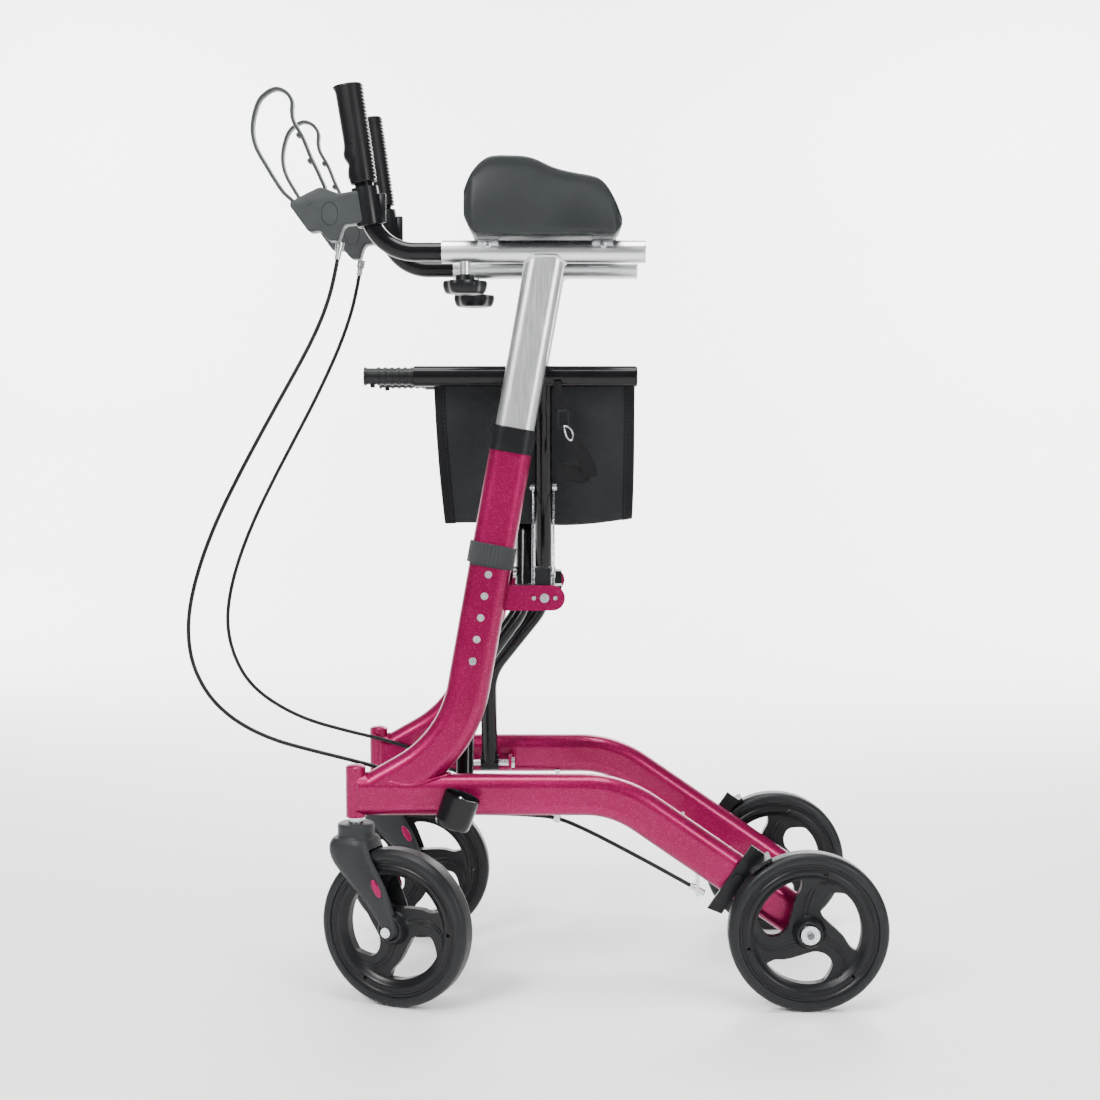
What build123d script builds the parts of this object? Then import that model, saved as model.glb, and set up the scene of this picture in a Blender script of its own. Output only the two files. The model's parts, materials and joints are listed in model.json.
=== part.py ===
from build123d import *
import os
from math import acos, atan2, cos, degrees, hypot, pi, radians, sin, tan

# Upright folding walker: two side frames joined by a scissor of two bars, drawn folded.
# +X points to the rear, -Y to the user's left, +Z up, floor at Z = 0. Millimetres.
# Every side piece is drawn on the left (Y < 0) and mirrored for the right.

# ---- driving dimensions -------------------------------------------------------------
RUN_GAP = 0.05            # radial gap of a shaft in its bore
SLIDE_GAP = 0.1           # gap of the masts in their sockets
AIR = 0.3                 # gap between pieces that only lie close

# rails
RAIL_Y = 134.0            # side frame centre plane when folded
RAIL_TALL = 50.0
RAIL_WIDE = 30.0
RAIL_WALL = 2.0
RAIL_Z = 250.0
RAIL_BEND = 125.0
RAIL_DROP = 34.6          # slope of the rear leg, degrees
RAIL_PAST_AXLE = 6.0
HEAD_X = -256.0
HEAD_OD = 24.0
HEAD_LOW = 223.0
HEAD_HIGH = 283.0
HEAD_BORE = 16.0
HEAD_NOSE = 24.0          # length over which the rail narrows to the head tube

# cane cup, left rail only
CUP_X = -133.0
CUP_Z = 238.0
CUP_R = 22.0
CUP_WALL = 2.0
CUP_TALL = 40.0
CUP_TILT = 20.0           # degrees that the cup leans to the rear

# wheels
WHEEL_R = 95.0
WHEEL_WIDE = 30.0
TYRE_THICK = 13.0
RIM_WIDE = 25.0
RIM_RING = 18.0
WEB_THICK = 11.0
HUB_R = 16.0
HUB_WIDE = 38.0
REAR_AXLE_X = 281.0
REAR_AXLE_Z = WHEEL_R
REAR_WHEEL_Y = 169.0
AXLE_R = 5.0
CASTER_TRAIL = 54.0
CASTER_YAW = {"left": 22.0, "right": -3.0}   # degrees that the trailing side swings outboard

# fork
FORK_CAP_R = 22.0
FORK_CAP_TOP = 216.0
FORK_CAP_TALL = 15.0
FORK_LEG_GAP = 2.5        # between wheel hub and leg
FORK_LEG = 9.0
STEM_R = 7.0

# uprights and masts
LEAN = 1.96               # inward lean of upright and mast, degrees
TILT = 10.2               # rearward tilt of upright and mast, degrees
UPRIGHT_LONG = 51.0
UPRIGHT_WALL = 1.9
UPRIGHT_BEND = 148.0
UPRIGHT_TOP = 672.0
UPRIGHT_CORNER_Z = 309.0
FOOT_X = -236.0
AXIS_X = -71.1            # upright axis at AXIS_Z
AXIS_Z = 656.0
HOLE_R = 4.5
HOLE_PITCH = 26.0
HOLE_COUNT = 4
BOLT_Z = 411.0
BOLT_R = 3.0
BOLT_HEAD_R = 4.5
BOLT_HEAD = 3.0
COLLAR_LOW = 658.0
COLLAR_HIGH = 687.0
COLLAR_WALL = 1.6
BAND_LOW = 523.0
BAND_HIGH = 548.0
BAND_THICK = 2.0

# arm rests
ARM_Z = 894.3
ARM_R = 13.5
ARM_FRONT = -151.7
ARM_REAR = 88.7
HANDLE_R = 11.0
HANDLE_WALL = 2.0
HANDLE_BACK = 40.0        # inner end of the handle tube inside the arm tube
BOSS_X = -124.6
BOSS_R = 7.0
BOSS_TALL = 13.0
KNOB_R = 27.0
KNOB_TALL = 14.0
KNOB_NECK_R = 15.0
KNOB_NECK = 9.0
KNOB_LOBES = 6
KNOB_SCREW_R = 4.0
PAD_FRONT = -125.5
PAD_REAR = 61.0
PAD_LOW = 911.0
PAD_HIGH = 1003.0
PAD_REAR_HIGH = 975.0
PAD_HALF = 48.0
TROUGH_R = 36.0
TROUGH_FLOOR = 938.0
BRACKET_X = (-97.0, 38.0)
BRACKET_LONG = 24.0

# handles and brake levers
GRIP_LEAN = 8.6           # degrees that the grip leans forward
GRIP_TOP_X = -261.0
GRIP_TOP_Z = 1089.0
GRIP_LONG = 116.0
GRIP_R = 16.5
HANDLE_BEND = 55.0
HOUSING_HALF = 14.0
HOUSING_LOW = 905.0
LEVER_HALF = 10.0
LEVER_STRAP = 5.0
LEVER_PIVOT = (-307.0, 951.0)
LEVER_PIN_R = 3.0
CABLE_R = 2.5

# folding scissor
PIVOT_Y = 96.0            # lower pivots when folded
PIVOT_Z = 244.0
SEAT_Y = 89.0             # seat tubes when folded
SEAT_Z = 748.5
SEAT_Z_OPEN = 525.0
SEAT_R = 12.5
SEAT_FRONT = -187.3
SEAT_REAR = 80.7
BAR_R = 10.5
BAR_HIGH_X = {"left": -56.5, "right": -32.5}  # bar named by the rail it is pivoted on
BAR_LOW_X = {"left": -128.0, "right": -105.0}
BAR_BEND = 80.0
BAR_BEND_FROM = 135.0
BAR_BEND_TO = 235.0
PIN_R = 4.0
SLEEVE_R = 10.5
SLEEVE_HALF = 12.0
LUG_SPREAD = 27.0
LUG_THICK = 4.0
LUG_R = 10.0

# seat saddles and stay links
PLATE_REAR = -6.0
PLATE_LOW = 470.0
PLATE_HIGH = 500.0
PLATE_THICK = 4.0
STAY_PIN_Z = 488.0
STAY_PIN_IN = 10.0        # stay pin inboard of the lower pivot
STAY_WIRE_R = 1.5
STAY_HALF = 12.5
STAY_EYE_R = 5.0
STAY_HEAD_R = 4.5
STAY_HEAD = 2.5
STAY_PIN_R = 2.5

# seat sling and pull strap
SLING_THICK = 2.0
SLING_FRONT = -165.0
SLING_REAR = 78.0
SLING_FOLD_Z = 566.0      # bottom of the hanging fold
SLING_FOLD_HALF = 4.0
SLING_BAND = 4.0          # edge band above the seat tube axis
STRAP_THICK = 2.0
STRAP_TOP_X = -6.0
STRAP_LOW_X = 8.0
STRAP_LONG = 118.0        # below the seat tube axis
STRAP_WIDE = 16.0

# rear brake
BRAKE_X = 199.0
BRAKE_Z = 153.3
BRAKE_ARM_WIDE = 18.0
BRAKE_ARM_UP = 42.0       # arm's reach above and below its bolt
BRAKE_ARM_DOWN = 46.0
SHOE_THICK = 3.5
SHOE_GAP = 2.4            # shoe off the tread at rest
SHOE_FROM = 117.0         # degrees round the wheel
SHOE_TO = 134.0

# bolts of the side frame
AXLE_CAP_R = 11.0
AXLE_NUT_R = 9.0
PLATE_BOLTS = ((-43.0, 2.5), (-30.4, 5.5), (-17.5, 2.5))   # X and radius
CLIP = (-15.3, -118.9, 217.6)                              # brake cable clip under the rail
CLIP_ALONG = (0.953, -0.104, -0.222)
CLIP_HALF = 4.0
BARREL_LONG = 19.5        # cable barrel at the brake arm

# ---- derived places -----------------------------------------------------------------
SLOPE = radians(RAIL_DROP)
RAIL_CORNER_X = REAR_AXLE_X - (RAIL_Z - REAR_AXLE_Z) / tan(SLOPE)
RAIL_IN = RAIL_Y - RAIL_WIDE / 2
RAIL_OUT = RAIL_Y + RAIL_WIDE / 2
RIM_R = WHEEL_R - TYRE_THICK
MAST_LONG = UPRIGHT_LONG - 2 * (UPRIGHT_WALL + SLIDE_GAP)
MAST_WIDE = RAIL_WIDE - 2 * (UPRIGHT_WALL + SLIDE_GAP)

BAR_SPAN_Y = PIVOT_Y + SEAT_Y
BAR_LONG = hypot(BAR_SPAN_Y, SEAT_Z - PIVOT_Z)
FOLD_ANGLE = atan2(BAR_SPAN_Y, SEAT_Z - PIVOT_Z)          # bar from upright, folded
OPEN_ANGLE = acos((SEAT_Z_OPEN - PIVOT_Z) / BAR_LONG)     # bar from upright, open
FOLD_TRAVEL = OPEN_ANGLE - FOLD_ANGLE
BAR_LOWER = PIVOT_Y / sin(FOLD_ANGLE)                     # lower pivot to centre pivot
CENTRE_Z = PIVOT_Z + BAR_LOWER * cos(FOLD_ANGLE)
SADDLE_IN = (2 * BAR_LOWER - BAR_LONG) * sin(OPEN_ANGLE)  # seat tube inboard of lower pivot, open
SADDLE_Y = PIVOT_Y - SADDLE_IN


def axis_x(z):
    return AXIS_X + (z - AXIS_Z) * tan(radians(TILT))


def mast_y(z):
    return -RAIL_Y + (z - RAIL_Z) * tan(radians(LEAN))


ARM_Y = -mast_y(ARM_Z)


def stay_vector(reach, angle):
    # from the stay's pin to a point on the bar, REACH from the bar's lower pivot
    across = (2 * BAR_LOWER - reach) * sin(angle) - STAY_PIN_IN
    up = reach * cos(angle) - (STAY_PIN_Z - PIVOT_Z)
    return across, up


def stay_reach():
    # the reach at which the stay is as long folded as open, by bisection
    low, high = BAR_LOWER, BAR_LONG
    for _ in range(60):
        middle = (low + high) / 2
        if hypot(*stay_vector(middle, FOLD_ANGLE)) < hypot(*stay_vector(middle, OPEN_ANGLE)):
            low = middle
        else:
            high = middle
    return middle


STAY_REACH = stay_reach()
STAY_ACROSS, STAY_UP = stay_vector(STAY_REACH, FOLD_ANGLE)
STAY_OPEN = stay_vector(STAY_REACH, OPEN_ANGLE)
STAY_TRAVEL = atan2(*STAY_OPEN) - atan2(STAY_ACROSS, STAY_UP)
STAY_PIN_Y = PIVOT_Y - STAY_PIN_IN

GRIP_DIR = (-sin(radians(GRIP_LEAN)), 0, cos(radians(GRIP_LEAN)))
HANDLE_CORNER_X = GRIP_TOP_X + (GRIP_TOP_Z - ARM_Z) * tan(radians(GRIP_LEAN))


# ---- helpers ------------------------------------------------------------------------
def rod(start, end, radius, bore=0.0):
    run = Vector(*end) - Vector(*start)
    plane = Plane(origin=start, z_dir=run)
    body = extrude(plane * Circle(radius), run.length)
    if bore:
        body -= extrude(plane * Circle(bore), run.length)
    return body


def cross_rod(x, z, y_from, y_to, radius, bore=0.0):
    return rod((x, y_from, z), (x, y_to, z), radius, bore)


def block(x, y, z):
    size = (x[1] - x[0], y[1] - y[0], z[1] - z[0])
    return Pos(sum(x) / 2, sum(y) / 2, sum(z) / 2) * Box(*size)


def side_plate(points, y_from, y_to):
    # an XZ outline given thickness along Y
    face = make_face(Plane.XZ * Polyline(*points, close=True))
    return Pos(0, y_from, 0) * extrude(face, y_to - y_from, dir=(0, 1, 0))


def swept(path, section, x_dir):
    plane = Plane(origin=path @ 0, z_dir=path % 0, x_dir=x_dir)
    return sweep(plane * section, path=path)


def leaned(shape):
    # lean an upright piece inboard about the rail centre line
    return Pos(0, -RAIL_Y, RAIL_Z) * Rot(-LEAN, 0, 0) * Pos(0, RAIL_Y, -RAIL_Z) * shape


def mast_plane(z):
    return Plane(
        origin=(axis_x(z), -RAIL_Y, z),
        x_dir=(cos(radians(TILT)), 0, -sin(radians(TILT))),
        z_dir=(sin(radians(TILT)), 0, cos(radians(TILT))),
    )


def oval_along_mast(z_low, z_high, long, wide):
    height = (z_high - z_low) / cos(radians(TILT))
    return extrude(mast_plane(z_low) * SlotOverall(long, wide), height)


def height_holes():
    drills = Part()
    for step in range(1, HOLE_COUNT + 1):
        z = BOLT_Z + step * HOLE_PITCH * cos(radians(TILT))
        drills += cross_rod(axis_x(z), z, -RAIL_Y - RAIL_WIDE, -RAIL_Y + RAIL_WIDE, HOLE_R)
    return drills


# ---- side frame ---------------------------------------------------------------------
def rail_path(x_from, past_axle):
    end_x = REAR_AXLE_X + past_axle * cos(SLOPE)
    end_z = REAR_AXLE_Z - past_axle * sin(SLOPE)
    corners = [(x_from, -RAIL_Y, RAIL_Z), (RAIL_CORNER_X, -RAIL_Y, RAIL_Z), (end_x, -RAIL_Y, end_z)]
    return FilletPolyline(*corners, radius=RAIL_BEND)


def rail_solid():
    return swept(rail_path(HEAD_X, RAIL_PAST_AXLE), SlotOverall(RAIL_TALL, RAIL_WIDE), (0, 0, 1))


def make_rail(lug_x):
    plan = Polyline(
        (HEAD_X, HEAD_OD / 2 - 1), (HEAD_X + HEAD_NOSE, RAIL_WIDE), (2 * REAR_AXLE_X, RAIL_WIDE),
        (2 * REAR_AXLE_X, -RAIL_WIDE), (HEAD_X + HEAD_NOSE, -RAIL_WIDE), (HEAD_X, 1 - HEAD_OD / 2),
        close=True,
    )
    body = rail_solid() & Pos(0, -RAIL_Y, 0) * extrude(make_face(plan), 2 * RAIL_Z)
    body += rod((HEAD_X, -RAIL_Y, HEAD_LOW), (HEAD_X, -RAIL_Y, HEAD_HIGH), HEAD_OD / 2)
    hollow = SlotOverall(RAIL_TALL - 2 * RAIL_WALL, RAIL_WIDE - 2 * RAIL_WALL)
    inner = rail_path(HEAD_X + HEAD_NOSE, -HUB_R)
    body -= swept(inner, hollow, (0, 0, 1))
    for x in (lug_x - LUG_SPREAD, lug_x + LUG_SPREAD):
        lug = rod((x - LUG_THICK / 2, -PIVOT_Y, PIVOT_Z), (x + LUG_THICK / 2, -PIVOT_Y, PIVOT_Z), LUG_R)
        lug += block((x - LUG_THICK / 2, x + LUG_THICK / 2), (-RAIL_IN - 1, -PIVOT_Y),
                     (PIVOT_Z - LUG_R, PIVOT_Z + LUG_R))
        body += lug - rod((x - LUG_R, -PIVOT_Y, PIVOT_Z), (x + LUG_R, -PIVOT_Y, PIVOT_Z), PIN_R)
    body -= rod((HEAD_X, -RAIL_Y, 0), (HEAD_X, -RAIL_Y, HEAD_HIGH - RAIL_WALL), HEAD_BORE / 2)
    body -= cross_rod(REAR_AXLE_X, REAR_AXLE_Z, -2 * RAIL_Y, 0, AXLE_R)
    return body


def upright_path(foot_share=1.0):
    corner = (axis_x(UPRIGHT_CORNER_Z), -RAIL_Y, UPRIGHT_CORNER_Z)
    foot = (FOOT_X, -RAIL_Y, RAIL_Z)
    foot = tuple(c + (f - c) * foot_share for c, f in zip(corner, foot))
    return FilletPolyline((axis_x(UPRIGHT_TOP), -RAIL_Y, UPRIGHT_TOP), corner, foot, radius=UPRIGHT_BEND)


def make_upright():
    across = (cos(radians(TILT)), 0, -sin(radians(TILT)))
    hollow = SlotOverall(UPRIGHT_LONG - 2 * UPRIGHT_WALL, RAIL_WIDE - 2 * UPRIGHT_WALL)
    body = swept(upright_path(), SlotOverall(UPRIGHT_LONG, RAIL_WIDE), across)
    plate_x = axis_x(PLATE_LOW)
    radius = (PLATE_HIGH - PLATE_LOW) / 2
    half = PLATE_THICK / 2
    plate = block((plate_x, PLATE_REAR - radius), (-RAIL_Y - half, -RAIL_Y + half), (PLATE_LOW, PLATE_HIGH))
    plate += cross_rod(PLATE_REAR - radius, PLATE_LOW + radius, -RAIL_Y - half, -RAIL_Y + half, radius)
    body += plate
    body -= swept(upright_path(0.8), hollow, across)
    body -= height_holes()
    body -= cross_rod(axis_x(BOLT_Z), BOLT_Z, -RAIL_Y - RAIL_WIDE, -RAIL_Y + RAIL_WIDE, BOLT_R)
    buried = block((2 * HEAD_X, 0), (-2 * RAIL_Y, 0), (0, RAIL_Z))
    upright = leaned(body) - rail_solid() - buried
    return upright.solids().sort_by(SortBy.VOLUME)[-1]


def make_collar():
    skirt = UPRIGHT_TOP
    body = oval_along_mast(COLLAR_LOW, COLLAR_HIGH, UPRIGHT_LONG + 2 * COLLAR_WALL,
                           RAIL_WIDE + 2 * COLLAR_WALL)
    body = fillet(body.faces().sort_by(Axis.Z)[-1].edges(), COLLAR_WALL)
    body -= oval_along_mast(COLLAR_LOW, skirt, UPRIGHT_LONG, RAIL_WIDE)
    body -= oval_along_mast(skirt, COLLAR_HIGH, MAST_LONG + 2 * SLIDE_GAP, MAST_WIDE + 2 * SLIDE_GAP)
    return leaned(body)


def make_band():
    body = oval_along_mast(BAND_LOW, BAND_HIGH, UPRIGHT_LONG + 2 * BAND_THICK, RAIL_WIDE + 2 * BAND_THICK)
    body -= oval_along_mast(BAND_LOW, BAND_HIGH, UPRIGHT_LONG, RAIL_WIDE)
    return leaned(body)


def make_saddle(stay_x):
    # low block behind the plate, and between the stay's wires a nose with the tube's cradle
    y_plate = mast_y(STAY_PIN_Z) + PLATE_THICK / 2 + 3 * AIR
    y_back = -STAY_PIN_Y - STAY_EYE_R - 4 * AIR
    front = axis_x(SEAT_Z_OPEN) + UPRIGHT_LONG / 2 + 2 * BAND_THICK
    body = block((front, PLATE_REAR - 4), (y_plate, y_back), (PLATE_LOW + 3, PLATE_HIGH - 1))
    half = STAY_HALF - STAY_WIRE_R - 1.5
    body += block((stay_x - half, stay_x + half), (y_plate, -SADDLE_Y - 2),
                  (STAY_PIN_Z - 9, SEAT_Z_OPEN - 5))
    body -= rod((-2 * UPRIGHT_LONG, -SADDLE_Y, SEAT_Z_OPEN), (0, -SADDLE_Y, SEAT_Z_OPEN), SEAT_R + AIR)
    body -= rod((-2 * UPRIGHT_LONG, -STAY_PIN_Y, STAY_PIN_Z), (0, -STAY_PIN_Y, STAY_PIN_Z),
                STAY_PIN_R + RUN_GAP)
    return body


CABLE_START = (-275.5, -112.0, 885.5)
CABLE_NEXT = (-281.0, -112.3, 855.0)
CABLE_BEFORE_END = (104.0, -125.4, 160.5)
CABLE_END = (144.7, -125.0, 137.5)


def make_side_bolts(bar_x):
    # lower pivot axle, rear axle, height bolt, plate bolts, cable clip and brake barrel
    shaft_end = bar_x + LUG_SPREAD + LUG_THICK / 2
    start = bar_x - LUG_SPREAD - LUG_THICK / 2
    body = rod((start, -PIVOT_Y, PIVOT_Z), (shaft_end + 3, -PIVOT_Y, PIVOT_Z), PIN_R)
    body += rod((shaft_end, -PIVOT_Y, PIVOT_Z), (shaft_end + BOLT_HEAD + 1, -PIVOT_Y, PIVOT_Z),
                2 * PIN_R - 1)
    outer = REAR_WHEEL_Y + HUB_WIDE / 2
    body += cross_rod(REAR_AXLE_X, REAR_AXLE_Z, -outer - 5, -RAIL_IN + 3, AXLE_R)
    body += cross_rod(REAR_AXLE_X, REAR_AXLE_Z, -outer - 3, -outer - AIR, AXLE_CAP_R, AXLE_R)
    body += cross_rod(REAR_AXLE_X, REAR_AXLE_Z, -RAIL_IN, -RAIL_IN + 5, AXLE_NUT_R)
    half = RAIL_WIDE / 2
    bolt = cross_rod(axis_x(BOLT_Z), BOLT_Z, -RAIL_Y - half - 2, -RAIL_Y + half + 2, BOLT_R)
    for side in (-1, 1):
        face = -RAIL_Y + side * half
        low, high = sorted((face, face + side * BOLT_HEAD))
        bolt += cross_rod(axis_x(BOLT_Z), BOLT_Z, low, high, BOLT_HEAD_R)
    body += leaned(bolt)
    plate_face = mast_y(STAY_PIN_Z) - PLATE_THICK / 2
    plate_mid = (PLATE_LOW + PLATE_HIGH) / 2
    for x, radius in PLATE_BOLTS:
        body += cross_rod(x, plate_mid, plate_face - 3.5, plate_face - 0.5, radius)
    reach = Vector(*CLIP_ALONG) * CLIP_HALF
    ring = rod(Vector(*CLIP) - reach, Vector(*CLIP) + reach, CABLE_R + 2.5, CABLE_R + AIR)
    hanger_y, hanger_top = CLIP[1] - CABLE_R - 1, RAIL_Z - RAIL_TALL / 2 + 4
    hanger = block((CLIP[0] - 3, CLIP[0] + 3), (hanger_y - 3, hanger_y), (CLIP[2] - 1, hanger_top))
    body += ring + (hanger - rail_solid())
    barrel_start = Vector(*CABLE_END)
    along = (barrel_start - Vector(*CABLE_BEFORE_END)).normalized() * BARREL_LONG
    body += rod(barrel_start, barrel_start + along, CABLE_R + 1.5)
    middle = tuple(barrel_start + along / 2)
    tab = block((middle[0] - 2, middle[0] + 2), (-RAIL_Y - 2, middle[1] + 6),
                (middle[2] - 6, middle[2] + 40))
    body += tab - rail_solid()
    return body


def make_cup():
    cup = Cylinder(CUP_R, CUP_TALL) - Pos(0, 0, CUP_WALL) * Cylinder(CUP_R - CUP_WALL, CUP_TALL)
    return Pos(CUP_X, -RAIL_OUT - CUP_R - AIR, CUP_Z) * Rot(0, CUP_TILT, 0) * cup


def cable_tube(points, name):
    radii = []
    for before, here, after in zip(points, points[1:], points[2:]):
        first, second = Vector(*here) - Vector(*before), Vector(*after) - Vector(*here)
        turn = radians(first.get_angle(second))
        radii.append(0.45 * min(first.length, second.length) / tan(turn / 2))
    path = FilletPolyline(*points, radius=radii)
    tube = sweep(Plane(origin=path @ 0, z_dir=path % 0) * Circle(CABLE_R), path=path)
    ideal = pi * CABLE_R ** 2 * path.length
    print(name, "length", round(path.length), "volume ratio", round(tube.volume / ideal, 4),
          "smallest radius", round(min(radii), 1))
    return tube


CABLE_TAIL = [(-128, -112.5, 222.5), (-88, -113.2, 222.2), (-50, -115, 221), (-15, -119, 219),
              (24, -123, 202.5),
              (62, -125, 183), CABLE_BEFORE_END, CABLE_END]
CABLE_ROUTE = {
    "left": [CABLE_START, CABLE_NEXT, (-294.5, -113.5, 815), (-314, -114.5, 775),
             (-344, -116, 722), (-371.8, -117, 672.5), (-397.5, -117.6, 624.8), (-421.4, -118, 577),
             (-440.6, -118, 529), (-454, -118, 482), (-458.3, -117.5, 441), (-453, -117, 402),
             (-434, -116.5, 364), (-402, -116, 334), (-358, -115.5, 312), (-310, -115, 299),
             (-262, -114.2, 287), (-222, -113.4, 276), (-192, -112.8, 252), (-163, -112.4,
                                                                             230)] + CABLE_TAIL,
    "right": [CABLE_START, CABLE_NEXT, (-293.6, -113.5, 815.2), (-309.8, -114.5, 775.9),
              (-335.3, -116, 723.4), (-363.6, -117, 670.8), (-392, -117.6, 617.9), (-418.4, -118, 564.9),
              (-439.7, -118, 511.7), (-452, -118, 466), (-456, -117.5, 427), (-449, -117, 388),
              (-430, -116.5, 350), (-398, -116, 322), (-352, -115.5, 298), (-298, -115, 283),
              (-240, -114.2, 269.5), (-203, -113.2, 257), (-166, -112.4, 233)] + CABLE_TAIL,
}


# ---- mast, arm rest and handle --------------------------------------------------------
def make_mast():
    low = BOLT_Z + (BOLT_R + AIR) / cos(radians(TILT))
    body = oval_along_mast(low, ARM_Z, MAST_LONG, MAST_WIDE)
    inner_long = MAST_LONG - 2 * UPRIGHT_WALL
    body -= oval_along_mast(low, ARM_Z - 2 * ARM_R, inner_long, MAST_WIDE - 2 * UPRIGHT_WALL)
    body = leaned(body)
    arm = rod((ARM_FRONT, -ARM_Y, ARM_Z), (ARM_REAR, -ARM_Y, ARM_Z), ARM_R)
    above = block((ARM_FRONT, ARM_REAR), (-2 * RAIL_Y, 0), (ARM_Z, 2 * ARM_Z))
    return body - arm - above


def make_arm_tube():
    body = rod((ARM_FRONT, -ARM_Y, ARM_Z), (ARM_REAR, -ARM_Y, ARM_Z), ARM_R)
    body += rod((BOSS_X, -ARM_Y, ARM_Z), (BOSS_X, -ARM_Y, ARM_Z - ARM_R - BOSS_TALL), BOSS_R)
    body -= rod((ARM_FRONT, -ARM_Y, ARM_Z), (ARM_REAR, -ARM_Y, ARM_Z), HANDLE_R + RUN_GAP)
    body -= rod((BOSS_X, -ARM_Y, ARM_Z), (BOSS_X, -ARM_Y, ARM_Z - 2 * ARM_R - BOSS_TALL),
                KNOB_SCREW_R + RUN_GAP)
    return body


def make_knob():
    top = ARM_Z - ARM_R - BOSS_TALL - AIR
    screw_top = ARM_Z - HANDLE_R - AIR
    body = rod((BOSS_X, -ARM_Y, top), (BOSS_X, -ARM_Y, top - KNOB_NECK), KNOB_NECK_R)
    grip = Circle(KNOB_R)
    for lobe in PolarLocations(KNOB_R + 4, KNOB_LOBES):
        grip -= lobe * Circle(8)
    disc = extrude(grip, KNOB_TALL)
    disc = fillet(disc.edges().group_by(Axis.Z)[0] + disc.edges().group_by(Axis.Z)[-1], 3)
    body += Pos(BOSS_X, -ARM_Y, top - KNOB_NECK - KNOB_TALL) * disc
    body += rod((BOSS_X, -ARM_Y, top), (BOSS_X, -ARM_Y, screw_top), KNOB_SCREW_R)
    return body


def make_pad():
    shoulder = PAD_FRONT + 0.45 * (PAD_REAR - PAD_FRONT)
    outline = FilletPolyline(
        (PAD_FRONT, 0, PAD_LOW), (PAD_FRONT, 0, PAD_LOW + 46), (PAD_FRONT + 24, 0, PAD_HIGH),
        (shoulder, 0, PAD_HIGH), (PAD_REAR - 22, 0, PAD_REAR_HIGH), (PAD_REAR, 0, PAD_LOW + 20),
        (PAD_REAR, 0, PAD_LOW), radius=10, close=True)
    body = extrude(make_face(outline), PAD_HALF, both=True)
    trough = rod((PAD_FRONT - 5, 0, TROUGH_FLOOR + TROUGH_R), (PAD_REAR + 5, 0, TROUGH_FLOOR + TROUGH_R),
                 TROUGH_R)
    trough += block((PAD_FRONT - 5, PAD_REAR + 5), (-TROUGH_R, TROUGH_R),
                    (TROUGH_FLOOR + TROUGH_R, PAD_HIGH + 5))
    return Pos(0, -ARM_Y, 0) * (body - trough)


def make_pad_brackets():
    body = Part()
    low = ARM_Z + ARM_R
    for x in BRACKET_X:
        half = BRACKET_LONG / 2
        strap = rod((x - half, -ARM_Y, ARM_Z), (x + half, -ARM_Y, ARM_Z), ARM_R + 2, ARM_R)
        strap &= block((x - half, x + half), (-ARM_Y - ARM_R - 2, -ARM_Y + ARM_R + 2), (ARM_Z + 2, low + 2))
        strap += block((x - half, x + half), (-ARM_Y - ARM_R - 8, -ARM_Y + ARM_R + 8), (low, PAD_LOW - AIR))
        strap += cross_rod(x, ARM_Z + 7, -ARM_Y - ARM_R - 4, -ARM_Y - ARM_R + 0.6, 3.5) - rod(
            (x - half, -ARM_Y, ARM_Z), (x + half, -ARM_Y, ARM_Z), ARM_R)
        body += strap
    return body


def grip_point(below_top):
    return (GRIP_TOP_X - below_top * GRIP_DIR[0], -ARM_Y, GRIP_TOP_Z - below_top * GRIP_DIR[2])


def handle_sweep(section):
    corner = (HANDLE_CORNER_X, -ARM_Y, ARM_Z)
    path = FilletPolyline((HANDLE_BACK, -ARM_Y, ARM_Z), corner, grip_point(4), radius=HANDLE_BEND)
    return swept(path, section, (0, 1, 0))


def make_handle_tube():
    return handle_sweep(Circle(HANDLE_R) - Circle(HANDLE_R - HANDLE_WALL))


def make_grip():
    body = rod(grip_point(GRIP_LONG), grip_point(0), GRIP_R)
    body += rod(grip_point(5), grip_point(0), GRIP_R + 1.5)
    body += rod(grip_point(GRIP_LONG), grip_point(GRIP_LONG - 8), GRIP_R + 1.5)
    for step in range(1, 9):
        body -= rod(grip_point(12 + 10 * step), grip_point(10 + 10 * step), GRIP_R + 5, GRIP_R - 1)
    return body - rod(grip_point(GRIP_LONG), grip_point(4), HANDLE_R)


def make_housing():
    outline = [(-329, 946), (-329, 952), (-294, 969), (-283, 962), (-250, 964), (-238, 958), (-238, 924),
               (-264, 922), (-264, HOUSING_LOW), (-283, HOUSING_LOW), (-296, 916), (-307, 915)]
    body = side_plate(outline, -ARM_Y - HOUSING_HALF, -ARM_Y + HOUSING_HALF)
    body += rod(grip_point(GRIP_LONG + 48), grip_point(GRIP_LONG + AIR), HANDLE_R + 4.5)
    body -= block((-340, -281), (-ARM_Y - LEVER_HALF - AIR, -ARM_Y + LEVER_HALF + AIR), (931, 980))
    body -= handle_sweep(Circle(HANDLE_R))
    x, z = LEVER_PIVOT
    return body - cross_rod(x, z, -ARM_Y - 2 * HOUSING_HALF, -ARM_Y + 2 * HOUSING_HALF,
                            LEVER_PIN_R + RUN_GAP)


def make_adjuster():
    # in line with the first run of the cable, up to the housing's underside
    low = Vector(*CABLE_START)
    along = (low - Vector(*CABLE_NEXT)).normalized()
    middle, top = low + along * 10, low + along * 22
    body = rod(low, top, CABLE_R + 1) + rod(middle, top, CABLE_R + 2.5)
    return body - block((-300, -250), (-ARM_Y - 10, -ARM_Y + 10), (HOUSING_LOW, 950))


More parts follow.
